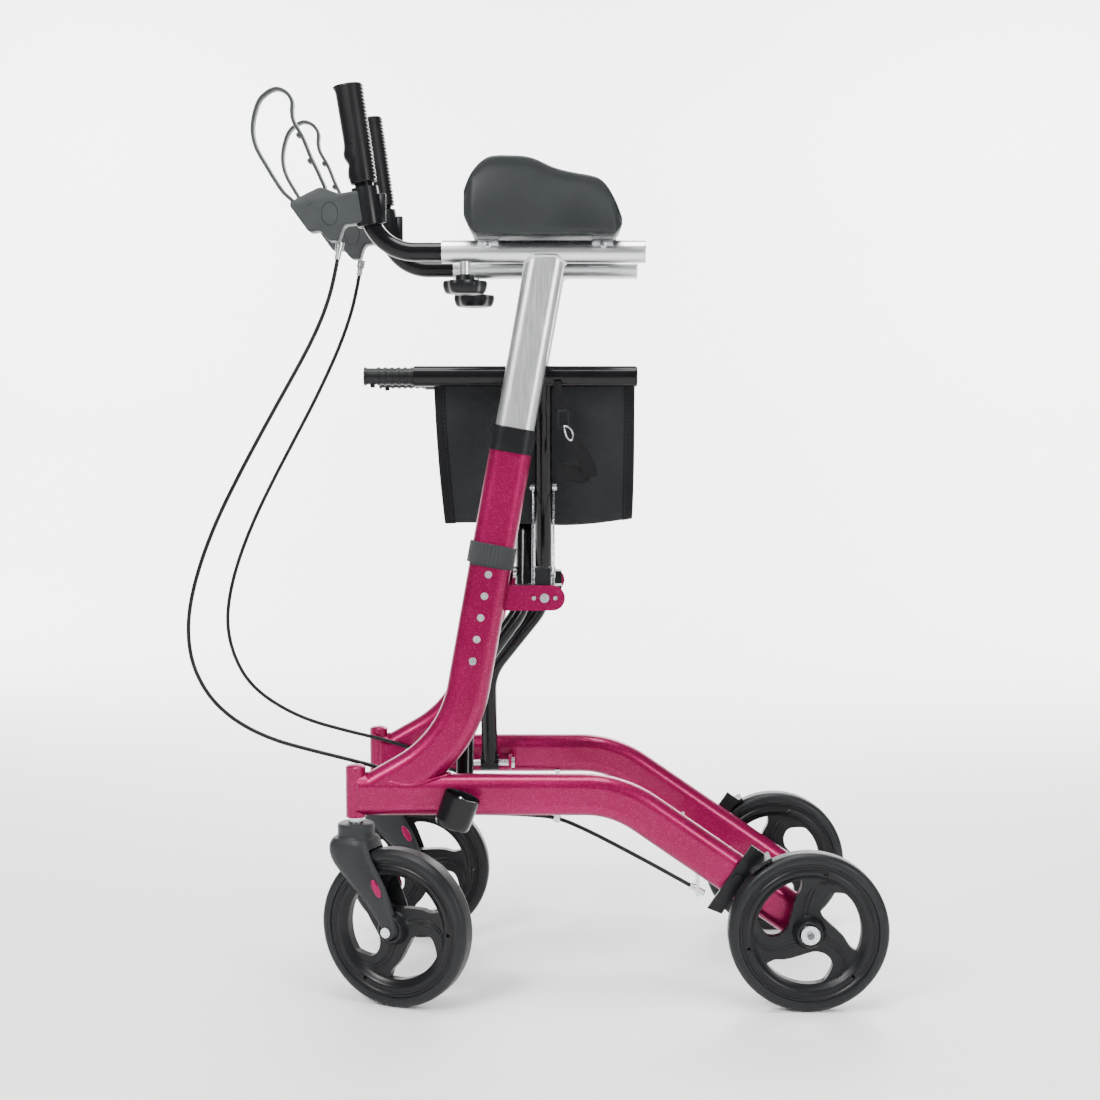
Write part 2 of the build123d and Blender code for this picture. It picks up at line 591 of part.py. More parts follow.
def make_lever():
    loop = [(-331, 958), (-342, 969), (-369.5, 1015.5), (-374, 1035), (-371, 1056), (-362, 1075),
            (-346.5, 1085),
            (-332, 1080), (-326, 1067), (-328, 1056), (-325, 1045), (-315, 1027.5), (-305.7,
                                                                                     1005.4), (-294, 982),
            (-288, 964), (-307, 942)]
    wire = FilletPolyline(*[(x, 0, z) for x, z in loop], radius=4, close=True)
    face = make_face(wire)
    strap = extrude(offset(face, LEVER_STRAP / 2) - offset(face, -LEVER_STRAP / 2), LEVER_HALF, both=True)
    x, z = LEVER_PIVOT
    strap += Pos(x, 0, z) * Rot(90, 0, 0) * Cylinder(8, 2 * LEVER_HALF)
    strap += Pos(x, 0, z) * Rot(90, 0, 0) * Cylinder(LEVER_PIN_R, 2 * (HOUSING_HALF + 1))
    return Pos(0, -ARM_Y, 0) * strap


# ---- wheels and forks -----------------------------------------------------------------
TEARDROP = [(0.84, -140), (0.68, -129), (0.51, -113), (0.41, -67), (0.58, -52), (0.79, -55), (0.975, -71)]


def teardrop(outer):
    start, tip = -82, -143
    points = [(outer * share * cos(radians(a)), outer * share * sin(radians(a))) for share, a in TEARDROP]
    ends = [(outer * cos(radians(a)), outer * sin(radians(a))) for a in (tip, start)]
    edge = Spline(ends[0], *points, ends[1])
    middle = radians((start + tip) / 2)
    arc = ThreePointArc(ends[1], (outer * cos(middle), outer * sin(middle)), ends[0])
    return make_face([edge, arc])


def make_rim(bore):
    # axle along Z here, turned to Y where it is placed
    inner = RIM_R - RIM_RING
    ring = Cylinder(RIM_R, RIM_WIDE) - Cylinder(inner, RIM_WIDE)
    web = extrude(Circle(inner + 1), WEB_THICK / 2, both=True)
    hole = extrude(teardrop(inner - 2), WEB_THICK, both=True)
    notch = extrude(Pos(inner + RIM_RING * 0.72, 0) * RegularPolygon(3.5, 3), RIM_WIDE, both=True)
    body = ring + web + Cylinder(HUB_R, HUB_WIDE)
    for turn in range(3):
        body -= Rot(0, 0, 120 * turn) * hole
        body -= Rot(0, 0, 120 * turn - 165) * notch
    return body - Cylinder(bore, HUB_WIDE)


def make_tyre():
    body = Cylinder(WHEEL_R, WHEEL_WIDE)
    body = fillet(body.edges(), 6)
    return body - Cylinder(RIM_R, WHEEL_WIDE)


def placed_wheel(shape, x, y, z, turn=0.0):
    return Pos(x, y, z) * Rot(90, 0, 0) * Rot(0, 0, turn) * shape


def caster(shape, side):
    # a caster drawn at the head axis, trailing to +X, swung outboard
    return Pos(HEAD_X, -RAIL_Y, 0) * Rot(0, 0, -CASTER_YAW[side]) * shape


def make_fork():
    crown_low = FORK_CAP_TOP - FORK_CAP_TALL
    tyre_top = WHEEL_R + 2
    profile = [(-22, crown_low), (-29, 186), (-23, 168), (0, 155), (CASTER_TRAIL - 13, 100),
               (CASTER_TRAIL - 8, 88), (CASTER_TRAIL + 8, 88), (CASTER_TRAIL + 11, 100), (48, 155), (30,
                                                                                                     190),
               (22, crown_low)]
    leg_in = HUB_WIDE / 2 + FORK_LEG_GAP - 3
    outer = leg_in + FORK_LEG
    body = side_plate(profile, -outer, outer)
    body = fillet(body.edges().filter_by(Axis.Y), 5)
    wheel_room = Pos(CASTER_TRAIL, 0, WHEEL_R) * Rot(90, 0, 0) * Cylinder(tyre_top, WHEEL_WIDE + 5)
    body -= wheel_room
    body -= Pos(CASTER_TRAIL, 0, WHEEL_R) * Rot(90, 0, 0) * Cylinder(HUB_R + 3, 2 * leg_in + 1)
    body += Pos(0, 0, (crown_low + FORK_CAP_TOP) / 2) * Cylinder(FORK_CAP_R, FORK_CAP_TALL)
    body -= Pos(CASTER_TRAIL, 0, WHEEL_R) * Rot(90, 0, 0) * Cylinder(AXLE_R - 1, 4 * outer)
    return body - Pos(0, 0, FORK_CAP_TOP) * Cylinder(STEM_R, 16)


def make_fork_metal():
    outer = HUB_WIDE / 2 + FORK_LEG_GAP - 3 + FORK_LEG
    body = rod((0, 0, FORK_CAP_TOP - 8), (0, 0, HEAD_HIGH - RAIL_WALL - 4), STEM_R)
    body += rod((0, 0, FORK_CAP_TOP), (0, 0, HEAD_LOW - AIR), HEAD_OD / 2 - 3)
    axle = Rot(90, 0, 0) * Cylinder(AXLE_R - 1, 2 * outer)
    for side in (-1, 1):
        axle += Pos(0, side * (outer + 1.5), 0) * Rot(90, 0, 0) * Cylinder(AXLE_R + 1, 3)
    return body + Pos(CASTER_TRAIL, 0, WHEEL_R) * axle


# ---- rear brake -----------------------------------------------------------------------
def make_brake_shoe():
    # arm across the rail's outer face, with a shoe over the tread
    inner = RAIL_OUT + AIR
    outer = REAR_WHEEL_Y - WHEEL_WIDE / 2 - 2 * AIR
    up = (sin(SLOPE), cos(SLOPE))
    along = (cos(SLOPE), -sin(SLOPE))
    half = BRAKE_ARM_WIDE / 2
    corners = [(half, BRAKE_ARM_UP), (half, -BRAKE_ARM_DOWN), (-half, -BRAKE_ARM_DOWN - 4),
               (-half, BRAKE_ARM_UP)]
    outline = [(BRAKE_X + a * along[0] + u * up[0], BRAKE_Z + a * along[1] + u * up[1]) for a, u in corners]
    body = side_plate(outline, -outer, -inner)
    body += cross_rod(BRAKE_X, BRAKE_Z, -outer - 2.5, -inner, 5.5)
    tread = WHEEL_R + SHOE_GAP
    far = 2 * WHEEL_R
    shoe = extrude(Circle(tread + SHOE_THICK) - Circle(tread), WHEEL_WIDE + 2)
    ends = [(far * cos(radians(a)), far * sin(radians(a))) for a in (SHOE_FROM, SHOE_TO)]
    wedge = Polyline((0, 0), *ends, close=True)
    shoe &= extrude(make_face(wedge), WHEEL_WIDE + 2)
    return body + Pos(REAR_AXLE_X, -inner, REAR_AXLE_Z) * Rot(90, 0, 0) * shoe


# ---- folding scissor --------------------------------------------------------------------
def bar_point(reach, x):
    # a point on a bar, at a reach up from its lower pivot, drawn pivoted on the left rail
    return (x, -PIVOT_Y + reach * sin(FOLD_ANGLE), PIVOT_Z + reach * cos(FOLD_ANGLE))


def make_bar(side):
    low_x, high_x = BAR_LOW_X[side], BAR_HIGH_X[side]
    points = [bar_point(0, low_x), bar_point(BAR_BEND_FROM, low_x),
              bar_point(BAR_BEND_TO, high_x), bar_point(BAR_LONG, high_x)]
    body = swept(FilletPolyline(*points, radius=BAR_BEND), Circle(BAR_R), (1, 0, 0))
    body += rod((low_x - SLEEVE_HALF, -PIVOT_Y, PIVOT_Z), (low_x + SLEEVE_HALF, -PIVOT_Y, PIVOT_Z), SLEEVE_R)
    body -= rod((SEAT_FRONT, SEAT_Y, SEAT_Z), (SEAT_REAR, SEAT_Y, SEAT_Z), SEAT_R)
    body -= block((high_x - 2 * BAR_R, high_x + 2 * BAR_R), (0, 2 * SEAT_Y), (SEAT_Z, SEAT_Z + 2 * BAR_R))
    body -= rod((low_x - 2 * BAR_R, -PIVOT_Y, PIVOT_Z), (low_x + 2 * BAR_R, -PIVOT_Y, PIVOT_Z),
                PIN_R + RUN_GAP)
    body -= rod((high_x - 2 * BAR_R, 0, CENTRE_Z), (high_x + 2 * BAR_R, 0, CENTRE_Z), PIN_R + RUN_GAP)
    return body


def make_seat_tube():
    body = rod((SEAT_FRONT, SEAT_Y, SEAT_Z), (SEAT_REAR, SEAT_Y, SEAT_Z), SEAT_R)
    body = fillet(body.faces().sort_by(Axis.X)[-1].edges(), 2)
    return body - rod((SEAT_FRONT, SEAT_Y, SEAT_Z), (SEAT_FRONT + 45, SEAT_Y, SEAT_Z), SEAT_R - 2)


def make_seat_plug():
    # ribbed plug in the seat tube's front end, with its spring button underneath
    front = SEAT_FRONT - 60
    body = rod((front, SEAT_Y, SEAT_Z), (SEAT_FRONT + 40, SEAT_Y, SEAT_Z), SEAT_R - 2.6)
    body += rod((SEAT_FRONT, SEAT_Y, SEAT_Z), (SEAT_FRONT + 40, SEAT_Y, SEAT_Z), SEAT_R - 2)
    for x in [front] + [front + 16 + 8 * step for step in range(6)]:
        body += rod((x, SEAT_Y, SEAT_Z), (x + 3, SEAT_Y, SEAT_Z), SEAT_R - 1.5)
    return body + rod((front + 10, SEAT_Y, SEAT_Z), (front + 10, SEAT_Y, SEAT_Z - SEAT_R - 1), 3)


def make_centre_pivot():
    low, high = BAR_HIGH_X["left"] - BAR_R, BAR_HIGH_X["right"] + BAR_R
    body = rod((low - 0.5, 0, CENTRE_Z), (high + 0.5, 0, CENTRE_Z), PIN_R)
    body += rod((low - 4, 0, CENTRE_Z), (low - 0.5, 0, CENTRE_Z), 2 * PIN_R - 1)
    body += rod((high + 0.5, 0, CENTRE_Z), (high + 4, 0, CENTRE_Z), 2 * PIN_R - 1)
    washer_low = BAR_HIGH_X["left"] + BAR_R + 0.5
    washer_high = BAR_HIGH_X["right"] - BAR_R - 0.5
    return body + rod((washer_low, 0, CENTRE_Z), (washer_high, 0, CENTRE_Z), 2 * PIN_R)


def make_stay(x):
    # two wires and their cross pin, from the saddle up to the bar's upper half
    pin = (0, -STAY_PIN_Y, STAY_PIN_Z)
    top = (0, -STAY_PIN_Y + STAY_ACROSS, STAY_PIN_Z + STAY_UP)
    body = rod((-STAY_HALF, pin[1], pin[2]), (STAY_HALF, pin[1], pin[2]), STAY_PIN_R)
    for side in (-1, 1):
        body += rod((side * STAY_HALF, pin[1], pin[2]), (side * STAY_HALF, top[1], top[2]), STAY_WIRE_R)
        low, high = sorted((side * (STAY_HALF - STAY_WIRE_R), side * (STAY_HALF + STAY_WIRE_R)))
        for y, z in (pin[1:], top[1:]):
            body += rod((low, y, z), (high, y, z), STAY_EYE_R)
        low, high = sorted((side * STAY_HALF, side * (STAY_HALF + STAY_WIRE_R + STAY_HEAD)))
        body += rod((low, top[1], top[2]), (high, top[1], top[2]), STAY_HEAD_R)
    return Pos(x, 0, 0) * body


def make_sling():
    # seat sheet hanging in the trough between the bars' upper halves
    edge = SEAT_Y - SEAT_R - AIR - SLING_THICK / 2
    half = [(edge, SEAT_Z + SLING_BAND), (edge, SEAT_Z - 2), (SLING_FOLD_HALF, SLING_FOLD_Z)]
    line = FilletPolyline(*[(SLING_FRONT, -y, z) for y, z in half],
                          *[(SLING_FRONT, y, z) for y, z in reversed(half)], radius=3)
    return extrude(make_face(offset(line, SLING_THICK / 2)), SLING_REAR - SLING_FRONT, dir=(1, 0, 0))


def make_fold_strap():
    # webbing pull strap hanging beside the left seat tube
    y, half, low_z = -SEAT_Y - SEAT_R - AIR, STRAP_WIDE / 2, SEAT_Z - STRAP_LONG
    outline = [(STRAP_TOP_X - half, SEAT_Z + 6), (STRAP_TOP_X + half, SEAT_Z + 6),
               (STRAP_LOW_X + 2 * half, low_z + 40), (STRAP_LOW_X + 1.5 * half, low_z),
               (STRAP_LOW_X - 1.5 * half, low_z), (STRAP_LOW_X - 0.75 * half, low_z + 40)]
    return side_plate(outline, y - STRAP_THICK, y)


# ---- assembly -----------------------------------------------------------------------------
def build():
    nodes = {}
    tyre, rear_rim, front_rim = make_tyre(), make_rim(AXLE_R + RUN_GAP), make_rim(AXLE_R - 1 + RUN_GAP)
    for side in ("left", "right"):
        other = "right" if side == "left" else "left"
        stay_x = BAR_HIGH_X[other]
        # pieces carried by this side, drawn on the left
        pieces = {
            "rail": make_rail(BAR_LOW_X[side]),
            "upright": make_upright(),
            "collar": make_collar(),
            "saddle": make_saddle(stay_x),
            "side_bolts": make_side_bolts(BAR_LOW_X[side]),
            "brake_cable": cable_tube(CABLE_ROUTE[side], side),
            "brake_shoe": make_brake_shoe(),
            "rear_rim": placed_wheel(rear_rim, REAR_AXLE_X, -REAR_WHEEL_Y, REAR_AXLE_Z),
            "rear_tyre": placed_wheel(tyre, REAR_AXLE_X, -REAR_WHEEL_Y, REAR_AXLE_Z),
            "fork": caster(make_fork(), side),
            "fork_metal": caster(make_fork_metal(), side),
            "front_rim": caster(placed_wheel(front_rim, CASTER_TRAIL, 0, WHEEL_R, turn=-75), side),
            "front_tyre": caster(placed_wheel(tyre, CASTER_TRAIL, 0, WHEEL_R), side),
            "mast": make_mast(),
            "arm_tube": make_arm_tube(),
            "arm_pad": make_pad(),
            "pad_brackets": make_pad_brackets(),
            "clamp_knob": make_knob(),
            "handle_tube": make_handle_tube(),
            "grip": make_grip(),
            "brake_housing": make_housing(),
            "cable_adjuster": make_adjuster(),
            "brake_lever": make_lever(),
            "cross_bar": make_bar(side),
            "stay": make_stay(stay_x),
        }
        if side == "left":
            pieces["cane_cup"] = make_cup()
            pieces["fastening_band"] = make_band()
        # the bar pivoted on this rail carries the other side's seat tube
        carried = {"seat_tube": make_seat_tube(), "seat_plug": make_seat_plug()}
        for name, shape in pieces.items():
            nodes[f"{name}_{side}"] = shape if side == "left" else mirror(shape, about=Plane.XZ)
        for name, shape in carried.items():
            nodes[f"{name}_{other}"] = shape if side == "left" else mirror(shape, about=Plane.XZ)
    nodes["centre_pivot"] = make_centre_pivot()
    nodes["seat_sling"] = make_sling()
    nodes["fold_strap"] = make_fold_strap()
    return nodes


NODES = build()
os.makedirs("parts", exist_ok=True)
for node_name, node_shape in NODES.items():
    export_step(node_shape, f"parts/{node_name}.step")
print(len(NODES), "nodes; fold", round(degrees(FOLD_TRAVEL), 2), "stay", round(degrees(STAY_TRAVEL), 2),
      "reach", round(STAY_REACH, 1))
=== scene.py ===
import json
import math

import bmesh
import bpy
import numpy as np
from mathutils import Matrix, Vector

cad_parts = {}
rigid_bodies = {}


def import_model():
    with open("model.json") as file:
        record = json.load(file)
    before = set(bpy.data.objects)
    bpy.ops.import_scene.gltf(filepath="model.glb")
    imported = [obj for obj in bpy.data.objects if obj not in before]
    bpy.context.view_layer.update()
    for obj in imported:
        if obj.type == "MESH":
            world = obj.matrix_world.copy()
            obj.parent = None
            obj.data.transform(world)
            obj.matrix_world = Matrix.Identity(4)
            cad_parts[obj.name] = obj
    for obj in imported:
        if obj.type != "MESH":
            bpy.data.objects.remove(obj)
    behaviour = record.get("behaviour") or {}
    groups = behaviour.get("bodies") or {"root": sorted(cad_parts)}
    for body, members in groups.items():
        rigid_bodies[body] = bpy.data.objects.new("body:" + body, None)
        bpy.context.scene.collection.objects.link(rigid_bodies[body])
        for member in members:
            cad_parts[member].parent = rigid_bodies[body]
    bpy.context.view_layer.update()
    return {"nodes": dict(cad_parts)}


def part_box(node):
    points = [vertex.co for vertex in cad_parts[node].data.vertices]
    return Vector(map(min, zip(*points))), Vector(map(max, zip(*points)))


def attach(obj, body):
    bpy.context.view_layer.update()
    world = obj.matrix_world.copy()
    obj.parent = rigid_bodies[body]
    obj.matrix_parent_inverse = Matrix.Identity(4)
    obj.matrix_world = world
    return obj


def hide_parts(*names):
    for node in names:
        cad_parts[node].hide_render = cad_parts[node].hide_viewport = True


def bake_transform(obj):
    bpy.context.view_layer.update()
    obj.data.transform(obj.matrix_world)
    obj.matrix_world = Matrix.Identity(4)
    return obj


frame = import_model()
for spare in ("Cube", "Light", "Camera"):
    if spare in bpy.data.objects and spare not in frame["nodes"]:
        bpy.data.objects.remove(bpy.data.objects[spare])
print("frame loaded")

# all sizes below are millimetres and degrees; addPiece turns them into metres
metre = 0.001
sides = {"left": 1, "right": -1}   # every side piece is worked out on the left, y below 0

cameraPlace = {"location": (-0.012, -2.197, 0.688), "lens": 57.2, "tilt": 4.03, "pan": 0.33}


def addCamera(place):
    data = bpy.data.cameras.new("camera")
    data.lens, data.sensor_width = place["lens"], 36
    camera = bpy.data.objects.new("camera", data)
    camera.location = place["location"]
    camera.rotation_euler = (math.radians(90 - place["tilt"]), 0, math.radians(place["pan"]))
    bpy.context.scene.collection.objects.link(camera)
    bpy.context.scene.camera = camera


addCamera(cameraPlace)


# working out shapes
def unit(vectors):
    # each vector over its own length
    vectors = np.asarray(vectors, float)
    return vectors / np.maximum(np.linalg.norm(vectors, axis=-1, keepdims=True), 1e-12)


def smooth(points, count, closed=False):
    # a Catmull-Rom line through the points, then spread evenly along its length
    p = np.asarray(points, float)
    if closed:
        p = np.concatenate([p[-1:], p, p[:2]])
    else:
        p = np.concatenate([2 * p[:1] - p[1:2], p, 2 * p[-1:] - p[-2:-1]])
    t = np.linspace(0, len(p) - 3, 12 * len(p) + 1)
    i = np.minimum(t.astype(int), len(p) - 4)
    f = (t - i)[:, None]
    a, b, c, d = p[i], p[i + 1], p[i + 2], p[i + 3]
    line = 0.5 * (2 * b + (c - a) * f + (2 * a - 5 * b + 4 * c - d) * f ** 2 + (3 * b - a - 3 * c + d) * f ** 3)
    return spread(line, count, closed)


def spread(line, count, closed=False):
    # the same line with its points evenly spaced
    along = np.concatenate([[0], np.cumsum(np.linalg.norm(np.diff(line, axis=0), axis=1))])
    places = np.linspace(0, along[-1], count, endpoint=not closed)
    return np.stack([np.interp(places, along, line[:, k]) for k in range(line.shape[1])], -1)


def ring(radius, count=24):
    # circle as pairs (cos, sin) times a radius, which may change round it
    angle = np.linspace(0, 2 * np.pi, count, endpoint=False)
    return np.stack([np.cos(angle), np.sin(angle)], -1) * np.asarray(radius)[..., None]


def boxy(halfLong, halfWide, power=4.0, count=32):
    # superellipse: |cos| and |sin| raised to 2 / power, so its corners fill out
    angle = np.linspace(0, 2 * np.pi, count, endpoint=False)
    c, s = np.cos(angle), np.sin(angle)
    return np.stack([np.sign(c) * np.abs(c) ** (2 / power) * np.asarray(halfLong)[..., None],
                     np.sign(s) * np.abs(s) ** (2 / power) * np.asarray(halfWide)[..., None]], -1)


def carry(path, section, side=(0, 1, 0), closed=False):
    # a section set square to a path: point + first * across + second * square
    path = np.asarray(path, float)
    if closed:
        tangent = unit(np.roll(path, -1, 0) - np.roll(path, 1, 0))
    else:
        tangent = unit(np.gradient(path, axis=0))
    across = unit(np.cross(np.broadcast_to(side, path.shape), tangent))
    square = np.cross(tangent, across)
    section = np.broadcast_to(section, (len(path),) + np.shape(section)[-2:])
    return path[:, None] + section[..., :1] * across[:, None] + section[..., 1:] * square[:, None]


def turned(profile, centre, axis=(0, 1, 0), around=96):
    # profile pairs (radius, along) turned round an axis through the centre
    profile, axis = np.asarray(profile, float), unit(axis)
    first = unit(np.cross(axis, (0.3, 0.2, 1) if abs(axis[2]) < 0.9 else (1, 0, 0)))
    angle = np.linspace(0, 2 * np.pi, around, endpoint=False)[:, None]
    spoke = np.cos(angle) * first + np.sin(angle) * np.cross(axis, first)
    return np.asarray(centre) + profile[:, None, :1] * spoke + profile[:, None, 1:] * axis


def gridFaces(rows, columns, closeRows, closeColumns):
    # quads between neighbouring rows and columns, wrapping where the grid closes
    r = np.arange(rows if closeRows else rows - 1)[:, None]
    c = np.arange(columns if closeColumns else columns - 1)[None, :]
    down, along = (r + 1) % rows, (c + 1) % columns
    quads = [r * columns + c, r * columns + along, down * columns + along, down * columns + c]
    return np.stack(np.broadcast_arrays(*quads), -1).reshape(-1, 4)


def part(grid, closeRows=False, closeColumns=True, caps=True):
    return {"grid": np.asarray(grid, float), "closeRows": closeRows, "closeColumns": closeColumns, "caps": caps}


def mirrored(item, side):
    # the same grid on the named side
    return dict(item, grid=item["grid"] * (1, sides[side], 1))


def prism(line, half):
    # a closed outline in x and z, as a block from -half to half across y
    return part(np.stack([np.stack([line[:, 0], np.full(len(line), y), line[:, 1]], -1) for y in (-half, half)]))


def meshOf(name, parts, sharp=35, uv=None):
    # several grids in one mesh, capped where a grid is a tube with open ends
    points, faces, start = [], [], 0
    for p in parts:
        rows, columns = p["grid"].shape[:2]
        faces += (gridFaces(rows, columns, p["closeRows"], p["closeColumns"]) + start).tolist()
        if p["caps"] and p["closeColumns"] and not p["closeRows"]:
            faces += [list(range(start, start + columns)),
                      list(range(start + (rows - 1) * columns, start + rows * columns))]
        points.append(p["grid"].reshape(-1, 3))
        start += rows * columns
    points = np.concatenate(points) * metre
    mesh = bpy.data.meshes.new(name)
    mesh.from_pydata(points.tolist(), [], faces)
    if uv is not None:
        layer = mesh.uv_layers.new(name="cloth")
        corner = np.zeros(len(mesh.loops), np.int32)
        mesh.loops.foreach_get("vertex_index", corner)
        layer.data.foreach_set("uv", (uv.reshape(-1, 2)[corner] * metre).astype(np.float32).ravel())
    work = bmesh.new()
    work.from_mesh(mesh)
    bmesh.ops.recalc_face_normals(work, faces=work.faces)
    work.to_mesh(mesh)
    work.free()
    mesh.shade_smooth()
    mesh.set_sharp_from_angle(angle=math.radians(sharp))
    return mesh


def addPiece(name, parts, finish, body=None, slot=None, replaces=(), side=1, **more):
    # a piece at the origin; side -1 mirrors it to the right
    parts = [dict(p, grid=p["grid"] * (1, side, 1)) for p in parts]
    piece = bpy.data.objects.new(name, meshOf(name, parts, **more))
    bpy.context.scene.collection.objects.link(piece)
    piece.data.materials.append(finishes[finish])
    if body:
        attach(piece, body)
    if replaces:
        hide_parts(*replaces)
    return piece


def applyModifiers(piece):
    # live modifiers become the mesh itself
    graph = bpy.context.evaluated_depsgraph_get()
    mesh = bpy.data.meshes.new_from_object(piece.evaluated_get(graph))
    old = piece.data
    piece.modifiers.clear()
    piece.data = mesh
    bpy.data.meshes.remove(old)


def cutOut(piece, cutters):
    # take the cutters' meshes out of a piece, exactly
    for number, mesh in enumerate(cutters):
        tool = bpy.data.objects.new(f"tool{number}", mesh)
        bpy.context.scene.collection.objects.link(tool)
        cut = piece.modifiers.new("cut", "BOOLEAN")
        cut.operation, cut.solver, cut.object = "DIFFERENCE", "EXACT", tool
    bpy.context.view_layer.update()
    applyModifiers(piece)
    for number in range(len(cutters)):
        bpy.data.objects.remove(bpy.data.objects[f"tool{number}"])


def bevelled(piece, width, segments=2, angle=40):
    edge = piece.modifiers.new("edge", "BEVEL")
    edge.width, edge.segments = width * metre, segments
    edge.limit_method, edge.angle_limit = "ANGLE", math.radians(angle)
    edge.harden_normals = True
    return piece


# finishes
finishes = {}


def newGroup(name, inputs, outputs):
    group = bpy.data.node_groups.new(name, "ShaderNodeTree")
    for label, kind, value in inputs:
        socket = group.interface.new_socket(label, in_out="INPUT", socket_type=kind)
        if value is not None:
            socket.default_value = value
    for label, kind in outputs:
        group.interface.new_socket(label, in_out="OUTPUT", socket_type=kind)
    return group, group.nodes.new("NodeGroupInput"), group.nodes.new("NodeGroupOutput")


def node(tree, kind, links=None, **settings):
    made = tree.nodes.new(kind)
    for key, value in settings.items():
        setattr(made, key, value)
    for key, value in (links or {}).items():
        socket = made.inputs[key]
        if isinstance(value, bpy.types.NodeSocket):
            tree.links.new(value, socket)
        else:
            socket.default_value = value
    return made


def math2(tree, operation, first, second=0.0):
    return node(tree, "ShaderNodeMath", {0: first, 1: second}, operation=operation).outputs[0]


floatSocket, vectorSocket = "NodeSocketFloat", "NodeSocketVector"


def makeGrain():
    # moulded grain: fine noise over coarse noise, with a slow mottling for the tone
    group, given, out = newGroup(
        "mouldedGrain", [("Scale", floatSocket, 900.0), ("Mottle", floatSocket, 18.0)],
        [("Height", floatSocket), ("Tone", floatSocket)])
    where = node(group, "ShaderNodeTexCoord").outputs["Object"]
    fine = node(group, "ShaderNodeTexNoise", {"Vector": where, "Scale": given.outputs["Scale"], "Detail": 3.0})
    slow = node(group, "ShaderNodeTexNoise", {"Vector": where, "Scale": given.outputs["Mottle"], "Detail": 4.0})
    group.links.new(fine.outputs["Fac"], out.inputs["Height"])
    group.links.new(slow.outputs["Fac"], out.inputs["Tone"])
    return group


def makeFlakes():
    # metal flakes: each small cell has its own brightness, and a few are bright
    group, given, out = newGroup(
        "metalFlakes", [("Scale", floatSocket, 800.0), ("Share", floatSocket, 0.82)],
        [("Glint", floatSocket), ("Tone", floatSocket), ("Height", floatSocket)])
    where = node(group, "ShaderNodeTexCoord").outputs["Object"]
    cells = node(group, "ShaderNodeTexVoronoi", {"Vector": where, "Scale": given.outputs["Scale"]})
    level = node(group, "ShaderNodeSeparateColor", {"Color": cells.outputs["Color"]})
    over = math2(group, "SUBTRACT", level.outputs[0], given.outputs["Share"])
    glint = node(group, "ShaderNodeMath", {0: over, 1: 6.0}, operation="MULTIPLY", use_clamp=True)
    slow = node(group, "ShaderNodeTexNoise", {"Vector": where, "Scale": 9.0, "Detail": 2.0})
    group.links.new(glint.outputs[0], out.inputs["Glint"])
    group.links.new(slow.outputs["Fac"], out.inputs["Tone"])
    group.links.new(level.outputs[1], out.inputs["Height"])
    return group


def makeWeave():
    # plain weave: round threads going over and under by turns along both directions of the cloth; its tone is painted
    # shade, darker where the threads dip and in the gaps between them
    group, given, out = newGroup(
        "plainWeave", [("Vector", vectorSocket, None), ("Threads", floatSocket, 800.0)],
        [("Height", floatSocket), ("Tone", floatSocket)])
    scaled = node(group, "ShaderNodeVectorMath", {0: given.outputs["Vector"]}, operation="SCALE")
    group.links.new(given.outputs["Threads"], scaled.inputs["Scale"])
    parts = node(group, "ShaderNodeSeparateXYZ", {0: scaled.outputs[0]})
    u, v = parts.outputs[0], parts.outputs[1]
    humpU = math2(group, "ABSOLUTE", math2(group, "SINE", math2(group, "MULTIPLY", u, math.pi)))
    humpV = math2(group, "ABSOLUTE", math2(group, "SINE", math2(group, "MULTIPLY", v, math.pi)))
    check = node(group, "ShaderNodeTexChecker", {"Vector": scaled.outputs[0], "Scale": 1.0}).outputs["Fac"]
    warp = math2(group, "MULTIPLY", math2(group, "MULTIPLY", humpU, check), 1.0)
    weft = math2(group, "MULTIPLY", humpV, math2(group, "SUBTRACT", 1.0, check))
    height = math2(group, "ADD", warp, weft)
    group.links.new(height, out.inputs["Height"])
    # tone rises with the weave's height: painted shade, darkest at the threads' edges and in the gaps between them
    group.links.new(math2(group, "POWER", height, 0.6), out.inputs["Tone"])
    return group


def makeBrushed():
    # drawn and brushed metal: noise stretched along the tube's own direction
    group, given, out = newGroup(
        "brushedLines", [("Rotation", vectorSocket, None), ("Stretch", vectorSocket, None)],
        [("Height", floatSocket), ("Tone", floatSocket)])
    where = node(group, "ShaderNodeTexCoord").outputs["Object"]
    turn = node(group, "ShaderNodeMapping", {"Vector": where, "Rotation": given.outputs["Rotation"],
                                              "Scale": given.outputs["Stretch"]})
    fine = node(group, "ShaderNodeTexNoise", {"Vector": turn.outputs[0], "Scale": 1.0, "Detail": 4.0})
    slow = node(group, "ShaderNodeTexNoise", {"Vector": where, "Scale": 25.0, "Detail": 3.0})
    group.links.new(fine.outputs["Fac"], out.inputs["Height"])
    group.links.new(slow.outputs["Fac"], out.inputs["Tone"])
    return group


groups = {"grain": makeGrain(), "flakes": makeFlakes(), "weave": makeWeave(), "brushed": makeBrushed()}


def newFinish(name, **constants):
    material = bpy.data.materials.new(name)
    material.use_nodes = True
    tree = material.node_tree
    shader = tree.nodes["Principled BSDF"]
    for label, value in constants.items():
        shader.inputs[label.replace("_", " ")].default_value = value
    finishes[name] = material
    return tree, shader


def useGroup(tree, which, **values):
    made = tree.nodes.new("ShaderNodeGroup")
    made.node_tree = groups[which]
    for label, value in values.items():
        if isinstance(value, bpy.types.NodeSocket):
            tree.links.new(value, made.inputs[label])
        else:
            made.inputs[label].default_value = value
    return made


def blendColours(tree, share, first, second):
    mix = node(tree, "ShaderNodeMix", data_type="RGBA")
    tree.links.new(share, mix.inputs[0])
    mix.inputs[6].default_value, mix.inputs[7].default_value = (*first, 1), (*second, 1)
    return mix.outputs[2]


